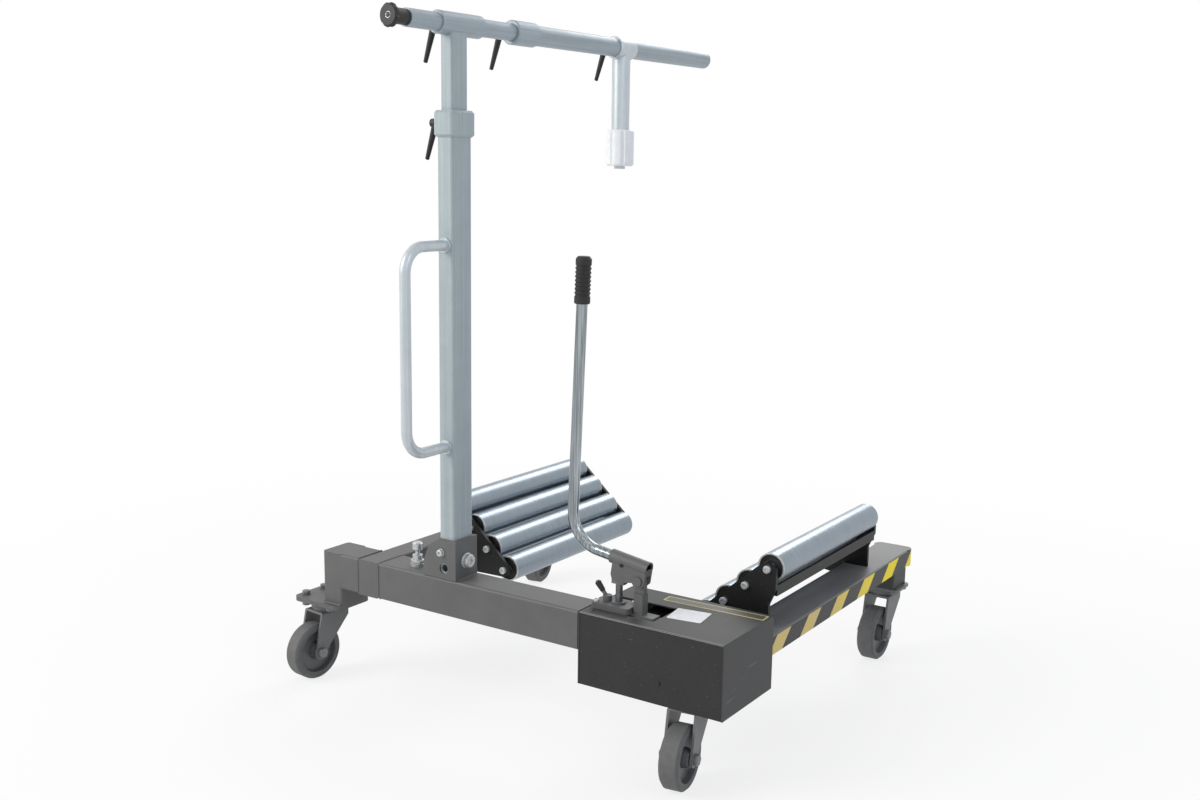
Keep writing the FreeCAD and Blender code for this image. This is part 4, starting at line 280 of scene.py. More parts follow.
fastener_zinc = small_steel("zinc_on_fasteners", "#b4b8ba", "#d2d5d6", 5.5, 0.32, 0.6)
dull_zinc = small_steel("dull_zinc_on_bolts", "#6f7172", "#888a8b", 5.5, 0.45, 0.4)
oiled_steel = small_steel("oiled_ground_steel", "#5d5f61", "#727476", 7.0, 0.22, 0.7)
blackened_steel = small_steel("blackened_steel", "#1c1c1d", "#2c2c2d", 6.0, 0.38, 0.3)
small_finishes = (fastener_zinc, dull_zinc, oiled_steel, blackened_steel)
print("steel:", bright_steel.name, [finish.name for finish in small_finishes])

# %% [markdown]
# ## Rubber and moulded plastic
# The grip is ribbed rubber, the clamp levers and the end knob are glass-filled nylon with a fine spark
# texture, and the guide sleeve is white nylon that has been turned.

# %% Moulded finishes
def moulded(name, deep, pale, spread, roughness, grit, depth):
    material, place = new_finish(name)
    scuffs = add_node(material, "ShaderNodeTexNoise", {
        "Vector": place, "Scale": 1 / (spread * MM), "Detail": 6.0, "Roughness": 0.65})
    tone = add_node(material, "ShaderNodeValToRGB", {"Fac": scuffs.outputs["Fac"]})
    tone_colour = set_stops(tone, 0.35, 0.75, colour(deep), colour(pale))
    texture = add_node(material, "ShaderNodeTexNoise", {
        "Vector": place, "Scale": 1 / (grit * MM), "Detail": 2.0})
    bump = add_node(material, "ShaderNodeBump", {
        "Height": texture.outputs["Fac"], "Strength": 0.4, "Distance": depth * MM})
    skin = add_node(material, "ShaderNodeBsdfPrincipled", {
        "Base Color": tone_colour, "Roughness": roughness, "Normal": bump.outputs["Normal"],
        "IOR": 1.5})
    add_node(material, "ShaderNodeOutputMaterial", {"Surface": skin.outputs["BSDF"]})
    return material


black_nylon = moulded("black_filled_nylon", "#0c0c0d", "#161617", 16, 0.48, 1.0, 0.3)
grip_rubber = moulded("black_grip_rubber", "#161617", "#252526", 20, 0.6, 1.2, 0.4)
white_nylon = moulded("white_turned_nylon", "#eff0f3", "#f7f8fa", 33, 0.4, 2.0, 0.1)
print("moulded:", black_nylon.name, grip_rubber.name, white_nylon.name)

# %% [markdown]
# ## Caster wheels
# A caster wheel is a tyre of grey polyurethane cast on a nylon centre. The tyre is scuffed where it
# rolls, and its outer band is paler, partly with dust and partly as a painted highlight on its edge.
# The centre is smoother and darker. Each wheel's solid is one body, so its finish measures the distance
# from its own axle: Mapping moves the axle to the origin and turns it along X.

# %% Tyre and centre in one finish for each wheel
TYRE_START = 46.5 * MM
TYRE_FULL = 47.5 * MM
TREAD_START = 60 * MM
TREAD_FULL = 62.3 * MM
SCUFF = 14 * MM
corners = ("front_left", "front_right", "rear_left", "rear_right")
wheel_finishes = {}
for corner in corners:
    axle = pivots[f"{corner}_wheel"]
    swivel = pivots[f"{corner}_fork"]
    trail = axle - swivel
    heading = math.atan2(trail.x, -trail.y)
    material, place = new_finish(f"{corner}_polyurethane_wheel")
    moved = add_node(material, "ShaderNodeVectorMath", {0: place, 1: tuple(axle)}, operation="SUBTRACT")
    turned = add_node(material, "ShaderNodeMapping", {
        "Vector": moved.outputs["Vector"], "Rotation": (0, 0, -heading)})
    flat = add_node(material, "ShaderNodeVectorMath", {
        0: turned.outputs["Vector"], 1: (0, 1, 1)}, operation="MULTIPLY")
    radius = add_node(material, "ShaderNodeVectorMath", {0: flat.outputs["Vector"]}, operation="LENGTH")
    tyre = add_node(material, "ShaderNodeMapRange", {
        "Value": radius.outputs["Value"], "From Min": TYRE_START, "From Max": TYRE_FULL})
    rolled = add_node(material, "ShaderNodeMapRange", {
        "Value": radius.outputs["Value"], "From Min": TREAD_START, "From Max": TREAD_FULL})
    scuffs = add_node(material, "ShaderNodeTexNoise", {
        "Vector": place, "Scale": 1 / SCUFF, "Detail": 6.0, "Roughness": 0.7})
    tone = add_node(material, "ShaderNodeValToRGB", {"Fac": scuffs.outputs["Fac"]})
    tyre_colour = set_stops(tone, 0.3, 0.75, colour("#585959"), colour("#656666"))
    # The paler outer band is dust where the tyre rolls, and partly a painted highlight on its edge.
    dust_and_sheen = add_node(material, "ShaderNodeMath", {
        0: rolled.outputs["Result"], 1: scuffs.outputs["Fac"]}, operation="MULTIPLY")
    dust_and_sheen_tread = add_node(material, "ShaderNodeMix", {
        0: dust_and_sheen.outputs["Value"], 6: tyre_colour, 7: colour("#6f6f6e")}, data_type="RGBA")
    both = add_node(material, "ShaderNodeMix", {
        0: tyre.outputs["Result"], 6: colour("#5a5b5c"), 7: dust_and_sheen_tread.outputs[2]}, data_type="RGBA")
    rough = add_node(material, "ShaderNodeMapRange", {
        "Value": tyre.outputs["Result"], "To Min": 0.4, "To Max": 0.66})
    bump = add_node(material, "ShaderNodeBump", {
        "Height": scuffs.outputs["Fac"], "Strength": 0.3, "Distance": 0.5 * MM})
    skin = add_node(material, "ShaderNodeBsdfPrincipled", {
        "Base Color": both.outputs[2], "Roughness": rough.outputs["Result"],
        "Normal": bump.outputs["Normal"], "IOR": 1.5})
    add_node(material, "ShaderNodeOutputMaterial", {"Surface": skin.outputs["BSDF"]})
    wheel_finishes[f"{corner}_wheel"] = material
    print(corner, "wheel heads", round(math.degrees(heading), 1), "degrees")

# %% [markdown]
# ## Dress the CAD nodes
# Each solid keeps its shape and gets its finish in its own material slots.

# %% Assign finishes to the solids
rollers = [f"{side}_roller_{number}" for side in ("left", "right") for number in (1, 2, 3, 4)]
finishes = {
    frame_coat: ["front_beam", "left_arm", "left_feet", "mast_bracket", "pump_block", "lever_socket",
                 "release_valve"],
    carriage_coat: ["pump_cover", "caster_spacers", "pump_base"],
    arm_coat_painted_light: ["right_arm"],
    panel_coat: ["front_panel"],
    black_coat: ["left_bank_plates", "right_bank_plates", "left_bank_strip", "right_bank_strip",
                 "oil_tank"],
    mast_zinc: ["mast_tube", "mast_inner_tube", "mast_collar"],
    handle_zinc_painted_light: ["mast_handle", "hanger_clamp"],
    bar_zinc: ["tee_sleeve", "bar_outer_tube", "bar_inner_tube", "inner_beam", "ram_cylinder"],
    roller_zinc_painted_shade: rollers,
    bright_steel: ["pump_lever", "ram_rod"],
    oiled_steel: ["pump_piston"],
    fastener_zinc: ["left_roller_axles", "right_roller_axles", "bracket_bolts", "plunger_pin",
                    "plunger_body"],
    caster_coat: ["left_caster_plates", "right_caster_plates", "front_left_fork", "front_right_fork",
                  "rear_left_fork", "rear_right_fork"],
    black_nylon: ["bar_knob", "mast_clamp_lever", "tee_clamp_lever", "bar_clamp_lever",
                  "hanger_clamp_lever"],
    grip_rubber: ["lever_grip"],
    white_nylon: ["guide_sleeve"],
}
chosen = {name: finish for finish, names in finishes.items() for name in names}
chosen.update(wheel_finishes)
for name, finish in chosen.items():
    for holder in nodes[name].material_slots:
        holder.material = finish
print("dressed:", len(chosen), "of", len(nodes))

# %% [markdown]
# ## Helpers for new pieces
# A new piece is shaped in a bmesh, where the operators work directly in the model's frame. One function
# turns it into an object at the origin, smooths its round faces and hangs it on a body. The others make
# what most small parts need: a disc or cone that stands on an axis, and a soft edge.

# %% Finish a piece
def finish_piece(shape, name, material, body, angle=40):
    mesh = bpy.data.meshes.new(name)
    bmesh.ops.recalc_face_normals(shape, faces=shape.faces)
    shape.to_mesh(mesh)
    shape.free()
    mesh.materials.append(material)
    for face in mesh.polygons:
        face.use_smooth = True
    mesh.set_sharp_from_angle(angle=math.radians(angle))
    piece = bpy.data.objects.new(name, mesh)
    bpy.context.scene.collection.objects.link(piece)
    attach(piece, body)
    return piece


print("finishing helper ready")

# %% Discs and soft edges
def aim(axis):
    """A rotation that takes +Z to an axis."""
    return Vector((0, 0, 1)).rotation_difference(Vector(axis)).to_matrix().to_4x4()


def stand(centre, axis):
    """The place of a shape that stands on a centre in mm and points along an axis."""
    return Matrix.Translation(Vector(centre) * MM) @ aim(axis)


def add_disc(shape, centre, axis, radius, height, segments=32, top=None):
    """A solid disc or cone frustum that stands on its centre and grows along its axis, in mm."""
    up = Matrix.Translation((0, 0, height * MM / 2))
    place = stand(centre, axis) @ up
    narrow = radius if top is None else top
    made = bmesh.ops.create_cone(shape, cap_ends=True, segments=segments, radius1=radius * MM,
                                 radius2=narrow * MM, depth=height * MM, matrix=place)
    return made["verts"]


def edges_among(shape, verts):
    inside = set(verts)
    return [edge for edge in shape.edges if edge.verts[0] in inside and edge.verts[1] in inside]


def bevel_edges(shape, edges, width, segments):
    bmesh.ops.bevel(shape, geom=edges, offset=width * MM, offset_type="OFFSET", affect="EDGES",
                    segments=segments, profile=0.5, material=-1)


def soften(shape, verts, width, segments=2, least=25):
    """Bevel the edges among some vertices that are sharper than an angle in degrees."""
    edges = [edge for edge in edges_among(shape, verts)
             if len(edge.link_faces) == 2 and math.degrees(edge.calc_face_angle(0)) > least]
    bevel_edges(shape, edges, width, segments)


print("shape helpers ready")

# %% [markdown]
# ## Hazard tape on the right arm
# Yellow and dark stripes warn people who walk past the long right arm. The tape follows the flat of
# the arm, turns its rounded end and stops on the end face. Its outline is one vertical edge that is
# extruded along the arm and spun round the corner, and the wall gets 0.3 mm of thickness.

# %% Shape of the tape
TAPE_MARGIN = 2 * MM
TAPE_THICKNESS = 0.3 * MM
TAPE_GAP = 1 * MM  # behind the pump cover
TAPE_RETURN = 30 * MM  # on the end face
NOSE = 16 * MM  # radius of the arm's rounded end


def grow(shape, edges, move):
    """Extrude edges by a move in metres and return the new vertices."""
    grown = bmesh.ops.extrude_edge_only(shape, edges=edges)["geom"]
    verts = [item for item in grown if isinstance(item, bmesh.types.BMVert)]
    bmesh.ops.translate(shape, verts=verts, vec=move)
    return verts


low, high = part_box("right_arm")
arm_right = high.x
arm_back = high.y
tape_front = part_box("pump_cover")[1].y + TAPE_GAP
tape = bmesh.new()
edge_low = tape.verts.new((arm_right, tape_front, low.z + TAPE_MARGIN))
edge_high = tape.verts.new((arm_right, tape_front, high.z - TAPE_MARGIN))
edge = tape.edges.new((edge_low, edge_high))
verts = grow(tape, [edge], (0, arm_back - NOSE - tape_front, 0))
spun = bmesh.ops.spin(tape, geom=verts + edges_among(tape, verts),
                      cent=(arm_right - NOSE, arm_back - NOSE, 0), axis=(0, 0, 1),
                      angle=math.radians(90), steps=8, use_duplicate=False)["geom_last"]
last_edges = [item for item in spun if isinstance(item, bmesh.types.BMEdge)]
grow(tape, last_edges, (-TAPE_RETURN, 0, 0))
bmesh.ops.remove_doubles(tape, verts=tape.verts, dist=0.01 * MM)
bmesh.ops.recalc_face_normals(tape, faces=tape.faces)
if sum(face.normal.x * face.calc_area() for face in tape.faces) < 0:
    bmesh.ops.reverse_faces(tape, faces=tape.faces)
bmesh.ops.solidify(tape, geom=list(tape.faces), thickness=-TAPE_THICKNESS)
print("tape faces:", len(tape.faces))

# %% [markdown]
# The stripes are 62 mm of yellow in every 144.5 mm and slant as they rise. They are counted along the
# arm with a little arithmetic on the Object coordinates. Near the pump the yellow has faded.

# %% Slanted stripes
STRIPE_PITCH = 144.5
STRIPE_WIDTH = 62
STRIPE_START = 55.8
SLANT = 1.1  # along the arm for each millimetre of height
ARM_TOP = 253
FADE_START = 20 * MM
FADE_END = 330 * MM
RUB = 12 * MM
stripe_paint, place = new_finish("yellow_and_dark_hazard_tape")
split = add_node(stripe_paint, "ShaderNodeSeparateXYZ", {"Vector": place})
level = add_node(stripe_paint, "ShaderNodeMath", {
    0: split.outputs["Z"], 1: -SLANT}, operation="MULTIPLY")
along = add_node(stripe_paint, "ShaderNodeMath", {
    0: split.outputs["Y"], 1: level.outputs["Value"]}, operation="ADD")
shifted = add_node(stripe_paint, "ShaderNodeMath", {
    0: along.outputs["Value"], 1: ARM_TOP * SLANT * MM + STRIPE_START * MM}, operation="ADD")
counted = add_node(stripe_paint, "ShaderNodeMath", {
    0: shifted.outputs["Value"], 1: 1 / (STRIPE_PITCH * MM)}, operation="MULTIPLY")
saw = add_node(stripe_paint, "ShaderNodeMath", {0: counted.outputs["Value"]}, operation="FRACT")
band = add_node(stripe_paint, "ShaderNodeMath", {
    0: saw.outputs["Value"], 1: STRIPE_WIDTH / STRIPE_PITCH}, operation="LESS_THAN")
fade = add_node(stripe_paint, "ShaderNodeMapRange", {
    "Value": split.outputs["Y"], "From Min": FADE_START, "From Max": FADE_END})
yellow = add_node(stripe_paint, "ShaderNodeMix", {
    0: fade.outputs["Result"], 6: colour("#dcc47c"), 7: colour("#ffe712")}, data_type="RGBA")
stripes = add_node(stripe_paint, "ShaderNodeMix", {
    0: band.outputs["Value"], 6: colour("#3c3c3b"), 7: yellow.outputs[2]}, data_type="RGBA")
rub = add_node(stripe_paint, "ShaderNodeTexNoise", {
    "Vector": place, "Scale": 1 / RUB, "Detail": 5.0, "Roughness": 0.7})
rubbed = add_node(stripe_paint, "ShaderNodeMapRange", {
    "Value": rub.outputs["Fac"], "From Min": 0.62, "From Max": 0.75, "To Max": 0.35})
worn = add_node(stripe_paint, "ShaderNodeMix", {
    0: rubbed.outputs["Result"], 6: stripes.outputs[2], 7: colour("#8a8778")}, data_type="RGBA")
film = add_node(stripe_paint, "ShaderNodeBsdfPrincipled", {
    "Base Color": worn.outputs[2], "Roughness": 0.5, "IOR": 1.35})
add_node(stripe_paint, "ShaderNodeOutputMaterial", {"Surface": film.outputs["BSDF"]})
tape_piece = finish_piece(tape, "hazard_tape", stripe_paint, "carriage")
print("tape:", [round(value, 3) for value in tape_piece.dimensions])

# %% [markdown]
# ## Caster bolts
# Each caster plate is held by four M10 bolts, whose heads show below the plates. On the left the outer
# two nuts show on top of the pads. The wheel axles end in a hexagon head and a nut, which sit round the
# plain heads of the CAD axle.

# %% Hexagon bolts at the four plates
BOLT_ACROSS = 37
BOLT_ALONG = 28
CASTER_PLATE = 6
PAD = 10
M10_HEXAGON = 16


def add_hexagon(shape, centre, axis, across, height, washer=1.6):
    """A hexagon head or nut on a round washer."""
    if washer:
        add_disc(shape, centre, axis, across * 0.62, washer)
    base = Vector(centre) + Vector(axis) * washer
    head = add_disc(shape, base, axis, across / math.sqrt(3), height, segments=6)
    soften(shape, head, 0.7)


plate_low = {"left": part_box("left_feet")[0].z / MM, "right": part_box("caster_spacers")[0].z / MM}
for corner in corners:
    side = corner.split("_")[1]
    body = "left_frame" if side == "left" else "carriage"
    x, y, _ = pivots[f"{corner}_fork"] / MM
    bolts = bmesh.new()
    for across in (-BOLT_ACROSS, BOLT_ACROSS):
        for along in (-BOLT_ALONG, BOLT_ALONG):
            below = (x + across, y + along, plate_low[side] - CASTER_PLATE)
            add_hexagon(bolts, below, (0, 0, -1), M10_HEXAGON, height=6.4)
            if side == "left" and across < 0:
                above = (x + across, y + along, plate_low[side] + PAD)
                add_hexagon(bolts, above, (0, 0, 1), M10_HEXAGON, height=8)
    piece = finish_piece(bolts, f"{corner}_caster_bolts", dull_zinc, body, angle=30)
    print(piece.name, len(piece.data.polygons), "faces")

# %% Hexagons on the wheel axles
FORK_HALF = 30
AXLE_HEXAGON = 20.6
AXLE_HEAD = 8.4
STUB_START = FORK_HALF + 8
for corner in corners:
    centre = pivots[f"{corner}_wheel"] / MM
    trail = pivots[f"{corner}_wheel"] - pivots[f"{corner}_fork"]
    axis = Vector((-trail.y, trail.x, 0)).normalized()
    ends = bmesh.new()
    add_hexagon(ends, centre + axis * FORK_HALF, axis, AXLE_HEXAGON, AXLE_HEAD, washer=0)
    add_hexagon(ends, centre - axis * FORK_HALF, -axis, AXLE_HEXAGON, AXLE_HEAD, washer=0)
    stub = add_disc(ends, centre - axis * STUB_START, -axis, radius=5.4, height=3.4)
    soften(ends, stub, 0.8)
    finish_piece(ends, f"{corner}_axle_hexagons", dull_zinc, f"{corner}_fork", angle=30)
print("axle ends fitted")

# %% [markdown]
# ## Weld beads
# The frame is welded, and each joint shows a rippled bead 4 to 6 mm wide. A bead is a round bar that is
# laid along the joint and pinched every few millimetres, like the puddles a welder leaves. It stops short
# of the corners of the tube.

# %% One bead
BEAD_PITCH = 5
PINCH = 0.8
SWELL = 1.06


def weld_bead(shape, start, end, radius):
    start = Vector(start)
    end = Vector(end)
    run = (end - start).length
    along = (end - start).normalized()
    count = max(6, int(run / BEAD_PITCH))
    bar = add_disc(shape, start, along, radius, run, segments=10)
    long_edges = [edge for edge in edges_among(shape, bar) if edge.calc_length() > run * MM * 0.9]
    cut = bmesh.ops.subdivide_edges(shape, edges=long_edges, cuts=count * 2 - 1, use_grid_fill=True)
    fresh = {item for item in cut["geom_inner"] if isinstance(item, bmesh.types.BMVert)}
    for vert in fresh:
        reach = (vert.co - start * MM).dot(along)
        middle = start * MM + along * reach
        number = round(reach / (run * MM) * count * 2)
        scale = PINCH if number % 2 else SWELL
        vert.co = middle + (vert.co - middle) * scale


print("bead helper ready")

# %% Beads on the left half
TUBE_BEAD = 1.8
FOOT_BEAD = 3
BRACKET_BEAD = 2.6
BANK_BEAD = 2.5
SHORT = 4
TUBE_HALF = 40
BEAM_TOP = 300
BEAM_LOW = 220
BEAM_FRONT = -434
BEAM_BACK = -354
BEAM_END = -296  # where the beam meets the left arm
ARM_LEFT = -356  # where the feet meet the left arm
POST_LEFT = -461  # outer face of the posts of the feet
POST_RIGHT = -406  # inner face of those posts
POST_FOOT = 182  # top of the pads under the posts
BANK_PLATES = (-185, 325)  # the two end plates, along Y
LEFT_BANK = (-309, -299)  # foot of a plate on the left arm, along X
foot_rows = [pivots[f"{end}_left_fork"].y / MM for end in ("front", "rear")]
bracket_low, bracket_high = (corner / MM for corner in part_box("mast_bracket"))
reach = TUBE_HALF - SHORT
beads = bmesh.new()
for height in (BEAM_TOP, BEAM_LOW):
    weld_bead(beads, (BEAM_END, BEAM_FRONT + SHORT, height), (BEAM_END, BEAM_BACK - SHORT, height),
              TUBE_BEAD)
    for y in foot_rows:
        weld_bead(beads, (ARM_LEFT, y - reach, height), (ARM_LEFT, y + reach, height), TUBE_BEAD)
side_low = BEAM_LOW + SHORT
side_high = BEAM_TOP - SHORT
for y in (BEAM_FRONT, BEAM_BACK):
    weld_bead(beads, (BEAM_END, y, side_low), (BEAM_END, y, side_high), TUBE_BEAD)
for y in foot_rows:
    for side in (-TUBE_HALF, TUBE_HALF):
        weld_bead(beads, (ARM_LEFT, y + side, side_low), (ARM_LEFT, y + side, side_high), TUBE_BEAD)
        weld_bead(beads, (POST_LEFT + FOOT_BEAD, y + side, POST_FOOT),
                  (POST_RIGHT - FOOT_BEAD, y + side, POST_FOOT), FOOT_BEAD)
    weld_bead(beads, (POST_LEFT, y - reach, POST_FOOT), (POST_LEFT, y + reach, POST_FOOT), FOOT_BEAD)
inner_corner = (bracket_high.x, bracket_high.y - 2, BEAM_TOP)
weld_bead(beads, (bracket_high.x, bracket_low.y + SHORT, BEAM_TOP), inner_corner, BRACKET_BEAD)
weld_bead(beads, (bracket_low.x, bracket_high.y - 2, BEAM_TOP), inner_corner, BRACKET_BEAD)
for y in BANK_PLATES:
    weld_bead(beads, (LEFT_BANK[0], y, BEAM_TOP), (LEFT_BANK[1], y, BEAM_TOP), BANK_BEAD)
frame_beads = finish_piece(beads, "frame_weld_beads", frame_coat, "left_frame",
                           angle=60)
print("frame beads:", len(frame_beads.data.polygons), "faces")

# %% Beads on the right half
ARM_LOW = 213
SPACER_HALF = 37
RIGHT_BANK = (453, 507)  # foot of a plate on the right arm, along X
arm_x, arm_y, _ = pivots["rear_right_fork"] / MM
beads = bmesh.new()
for y in BANK_PLATES:
    weld_bead(beads, (RIGHT_BANK[0], y, ARM_TOP), (RIGHT_BANK[1], y, ARM_TOP), BANK_BEAD)
reach = SPACER_HALF - 1
for side in (-SPACER_HALF, SPACER_HALF):
    weld_bead(beads, (arm_x - reach, arm_y + side, ARM_LOW), (arm_x + reach, arm_y + side, ARM_LOW),
              BRACKET_BEAD)
    weld_bead(beads, (arm_x + side, arm_y - reach, ARM_LOW), (arm_x + side, arm_y + reach, ARM_LOW),
              BRACKET_BEAD)
arm_beads = finish_piece(beads, "arm_weld_beads", arm_coat_painted_light, "carriage", angle=60)
print("arm beads:", len(arm_beads.data.polygons), "faces")

# %% [markdown]
# ## Clamp levers
# The four clamp levers are moulded nylon: a round hub with a steel button in its end, and a straight
# tapered handle with a rounded tip. The CAD lever is a plain hub and cone, so a softer moulded form
# replaces it. The handle is a cone with a rounded end, set into the hub, and thin ribs run round the
# hub.

# %% Moulded clamp levers
carriers = {
    "mast_clamp_lever": "mast_collar",
    "tee_clamp_lever": "tee_sleeve",
    "bar_clamp_lever": "bar_outer_tube",
    "hanger_clamp_lever": "hanger_clamp",
}
FACE_GAP = 0.3  # between faces that turn on each other
HUB_LENGTH = 26
HUB_ROOT = 9.6  # radius
HUB_END = 8.8  # radius
RIB_PLACES = (5, 8.5, 12)
RIB_RADIUS = 10
RIB_WIDTH = 1.6
HANDLE_LENGTH = 69
HANDLE_ROOT = 7.0  # radius
HANDLE_END = 4.5  # radius
HANDLE_LEAN = 18  # degrees
lean = math.radians(HANDLE_LEAN)
down = Vector((-math.sin(lean), 0, -math.cos(lean)))
for name, carrier in carriers.items():
    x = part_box(carrier)[0].x / MM - FACE_GAP
    _, y, z = pivots[name] / MM
    lever = bmesh.new()
    hub = add_disc(lever, (x, y, z), (-1, 0, 0), HUB_ROOT, HUB_LENGTH, segments=40, top=HUB_END)
    soften(lever, hub, 1.8, 3)
    for rib in RIB_PLACES:
        band = add_disc(lever, (x - rib, y, z), (-1, 0, 0), RIB_RADIUS, RIB_WIDTH, segments=40)
        soften(lever, band, 0.5)
    root = Vector((x - HUB_LENGTH * 0.6, y, z))
    add_disc(lever, root, down, HANDLE_ROOT, HANDLE_LENGTH, segments=32, top=HANDLE_END)
    tip = add_disc(lever, root + down * (HANDLE_LENGTH - 0.5), down, 4.6, 7, segments=32, top=4.4)
    soften(lever, tip, 2.6, 4)
    piece = finish_piece(lever, f"{name}_moulding", black_nylon, name, angle=35)
    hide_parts(name)
    button = bmesh.new()
    cap = add_disc(button, (x - HUB_LENGTH, y, z), (-1, 0, 0), radius=5.2, height=2, segments=32)
    soften(button, cap, 0.8)
    add_disc(button, (x + 8, y, z), (-1, 0, 0), radius=4.9, height=8.4, segments=32)
    finish_piece(button, f"{name}_screw", fastener_zinc, name)
print("clamp levers:", len(carriers))

# %% [markdown]
# ## Roller ends
# Each roller turns on two ball bearings that sit a few millimetres inside the tube, each with a black
# rubber seal. A seal is two flat rings: a raised rim against the tube and a thinner web that ends just
# short of the axle. Two closed rings stay clean when they are exported, where an open disc would not.
# The ends of the tube were faced on a lathe, so each shows a bright rim with broken edges. The rim is
# a ring on the tube's end: a lighter material on the end face alone would have no edge to catch light.
# A ring starts as two circles that are bridged. Both are extruded and bridged again at the back.

# %% A ring with soft edges
def grow_loop(shape, edges, height):
    """Extrude a loop of edges along Z by a height in mm and return the new loop."""
    return edges_among(shape, grow(shape, edges, (0, 0, height * MM)))


def join_shape(shape, part, place):
    """Put a part that was shaped at the origin into its place in a larger shape."""
    bmesh.ops.transform(part, matrix=place, verts=part.verts)
    mesh = bpy.data.meshes.new("part")
    part.to_mesh(mesh)
    part.free()
    shape.from_mesh(mesh)
    bpy.data.meshes.remove(mesh)


def add_ring(shape, centre, axis, inner, outer, height, soft):
    """A ring with soft edges that stands on its centre and grows along its axis, in mm."""
    ring = bmesh.new()
    bmesh.ops.create_circle(ring, segments=48, radius=outer * MM)
    outside = list(ring.edges)
    bore_verts = bmesh.ops.create_circle(ring, segments=48, radius=inner * MM)["verts"]
    inside = edges_among(ring, bore_verts)
    bmesh.ops.bridge_loops(ring, edges=outside + inside)
    back = grow_loop(ring, outside, height) + grow_loop(ring, inside, height)
    bmesh.ops.bridge_loops(ring, edges=back)
    soften(ring, list(ring.verts), soft)
    join_shape(shape, ring, stand(centre, axis))


print("ring helper ready")

# %% Bearing seals in the rollers
SEAL_INSET = 5
SEAL_RIM = {"inner": 18.5, "outer": 25, "height": 2.4, "soft": 0.6}
SEAL_WEB = {"inner": 7, "outer": 19, "height": 1.2, "soft": 0.3}
TUBE_INSET = 1.2
TUBE_RIM = {"inner": 25.2, "outer": 29.1, "height": 2, "soft": 0.7}
for name in rollers:
    low, high = (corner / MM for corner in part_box(name))
    x = (low.x + high.x) / 2
    z = (low.z + high.z) / 2
    seal = bmesh.new()
    for end, facing in ((low.y, -1), (high.y, 1)):
        start = (x, end - facing * SEAL_INSET, z)
        add_ring(seal, start, (0, facing, 0), **SEAL_RIM)
        add_ring(seal, start, (0, facing, 0), **SEAL_WEB)
    finish_piece(seal, f"{name}_seals", grip_rubber, name)
    rims = bmesh.new()
    for end, facing in ((low.y, -1), (high.y, 1)):
        add_ring(rims, (x, end - facing * TUBE_INSET, z), (0, facing, 0), **TUBE_RIM)
    finish_piece(rims, f"{name}_rims", fastener_zinc, name)
print("seals and rims fitted to", len(rollers), "rollers")

# %% [markdown]
# ## Axle screws of the roller banks
# At the front each roller axle ends in a bright round head with a hexagon socket, and at the back in
# a hexagon nut. Both are fitted round the plain heads of the CAD axles.

# %% A screw head with a socket
def add_socket_screw(shape, centre, axis, radius, height, key, depth):
    """A round screw head with a hexagon socket. The hexagon is divided until it has as many corners
    as the round rim, so that the two loops can be bridged."""
    screw = bmesh.new()
    bmesh.ops.create_circle(screw, segments=6, radius=key * MM)
    bmesh.ops.subdivide_edges(screw, edges=screw.edges, cuts=5)
    socket = list(screw.edges)
    round_verts = bmesh.ops.create_circle(screw, segments=36, radius=radius * MM)["verts"]
    rim = edges_among(screw, round_verts)
    bmesh.ops.bridge_loops(screw, edges=rim + socket)
    bmesh.ops.contextual_create(screw, geom=grow_loop(screw, socket, -depth))
    bmesh.ops.contextual_create(screw, geom=grow_loop(screw, rim, -height))
    bevel_edges(screw, rim, radius * 0.14, 3)
    up = Matrix.Translation((0, 0, height * MM))
    join_shape(shape, screw, stand(centre, axis) @ up)


print("screw helper ready")

# %% Heads and nuts on both banks
for side, body in (("left", "left_frame"), ("right", "carriage")):
    low, high = (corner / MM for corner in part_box(f"{side}_bank_plates"))
    heads = bmesh.new()
    for number in (1, 2, 3, 4):
        x, _, z = pivots[f"{side}_roller_{number}"] / MM
        add_socket_screw(heads, (x, low.y, z), (0, -1, 0), radius=7.8, height=7, key=3.6, depth=1.6)
        add_hexagon(heads, (x, high.y, z), (0, 1, 0), across=16, height=5.6, washer=0)
    piece = finish_piece(heads, f"{side}_axle_screws", fastener_zinc, body, angle=30)
    print(piece.name, len(piece.data.polygons), "faces")

# %% [markdown]
# ## Bolts of the mast bracket, and the index plunger
# The mast is held by one small and one large socket screw, the large one with a washer. The index plunger
# screws into a hexagon nut on the beam.

# %% Bracket screws and plunger nut
FRONT_WASHER = 1.2
FRONT_WASHER_RADIUS = 8
FRONT_BOLT_HEIGHT = 356
SIDE_WASHER = 2.4
SIDE_BOLT_HEIGHT = 338
MAST_AXIS = -400  # along Y
FLANGE = 6
screws = bmesh.new()
bolt_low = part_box("bracket_bolts")[0] / MM
front_bolt = (bolt_low.x + FRONT_WASHER_RADIUS, bracket_low.y - FRONT_WASHER, FRONT_BOLT_HEIGHT)
side_bolt = (bracket_high.x + SIDE_WASHER, MAST_AXIS, SIDE_BOLT_HEIGHT)
add_socket_screw(screws, front_bolt, (0, -1, 0), radius=7, height=6.6, key=3.4, depth=2.2)
add_socket_screw(screws, side_bolt, (1, 0, 0), radius=13.8, height=11, key=6.2, depth=2.6)
washer_place = (side_bolt[0] - SIDE_WASHER, *side_bolt[1:])
washer = add_disc(screws, washer_place, (1, 0, 0), radius=16.6, height=2.8, segments=48)
soften(screws, washer, 0.6)
finish_piece(screws, "bracket_screws", fastener_zinc, "left_frame", angle=30)
low, high = (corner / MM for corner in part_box("plunger_body"))
plunger_x = (low.x + high.x) / 2
plunger_y = (low.y + high.y) / 2
nut = bmesh.new()
nut_place = (plunger_x, plunger_y, low.z + FLANGE)
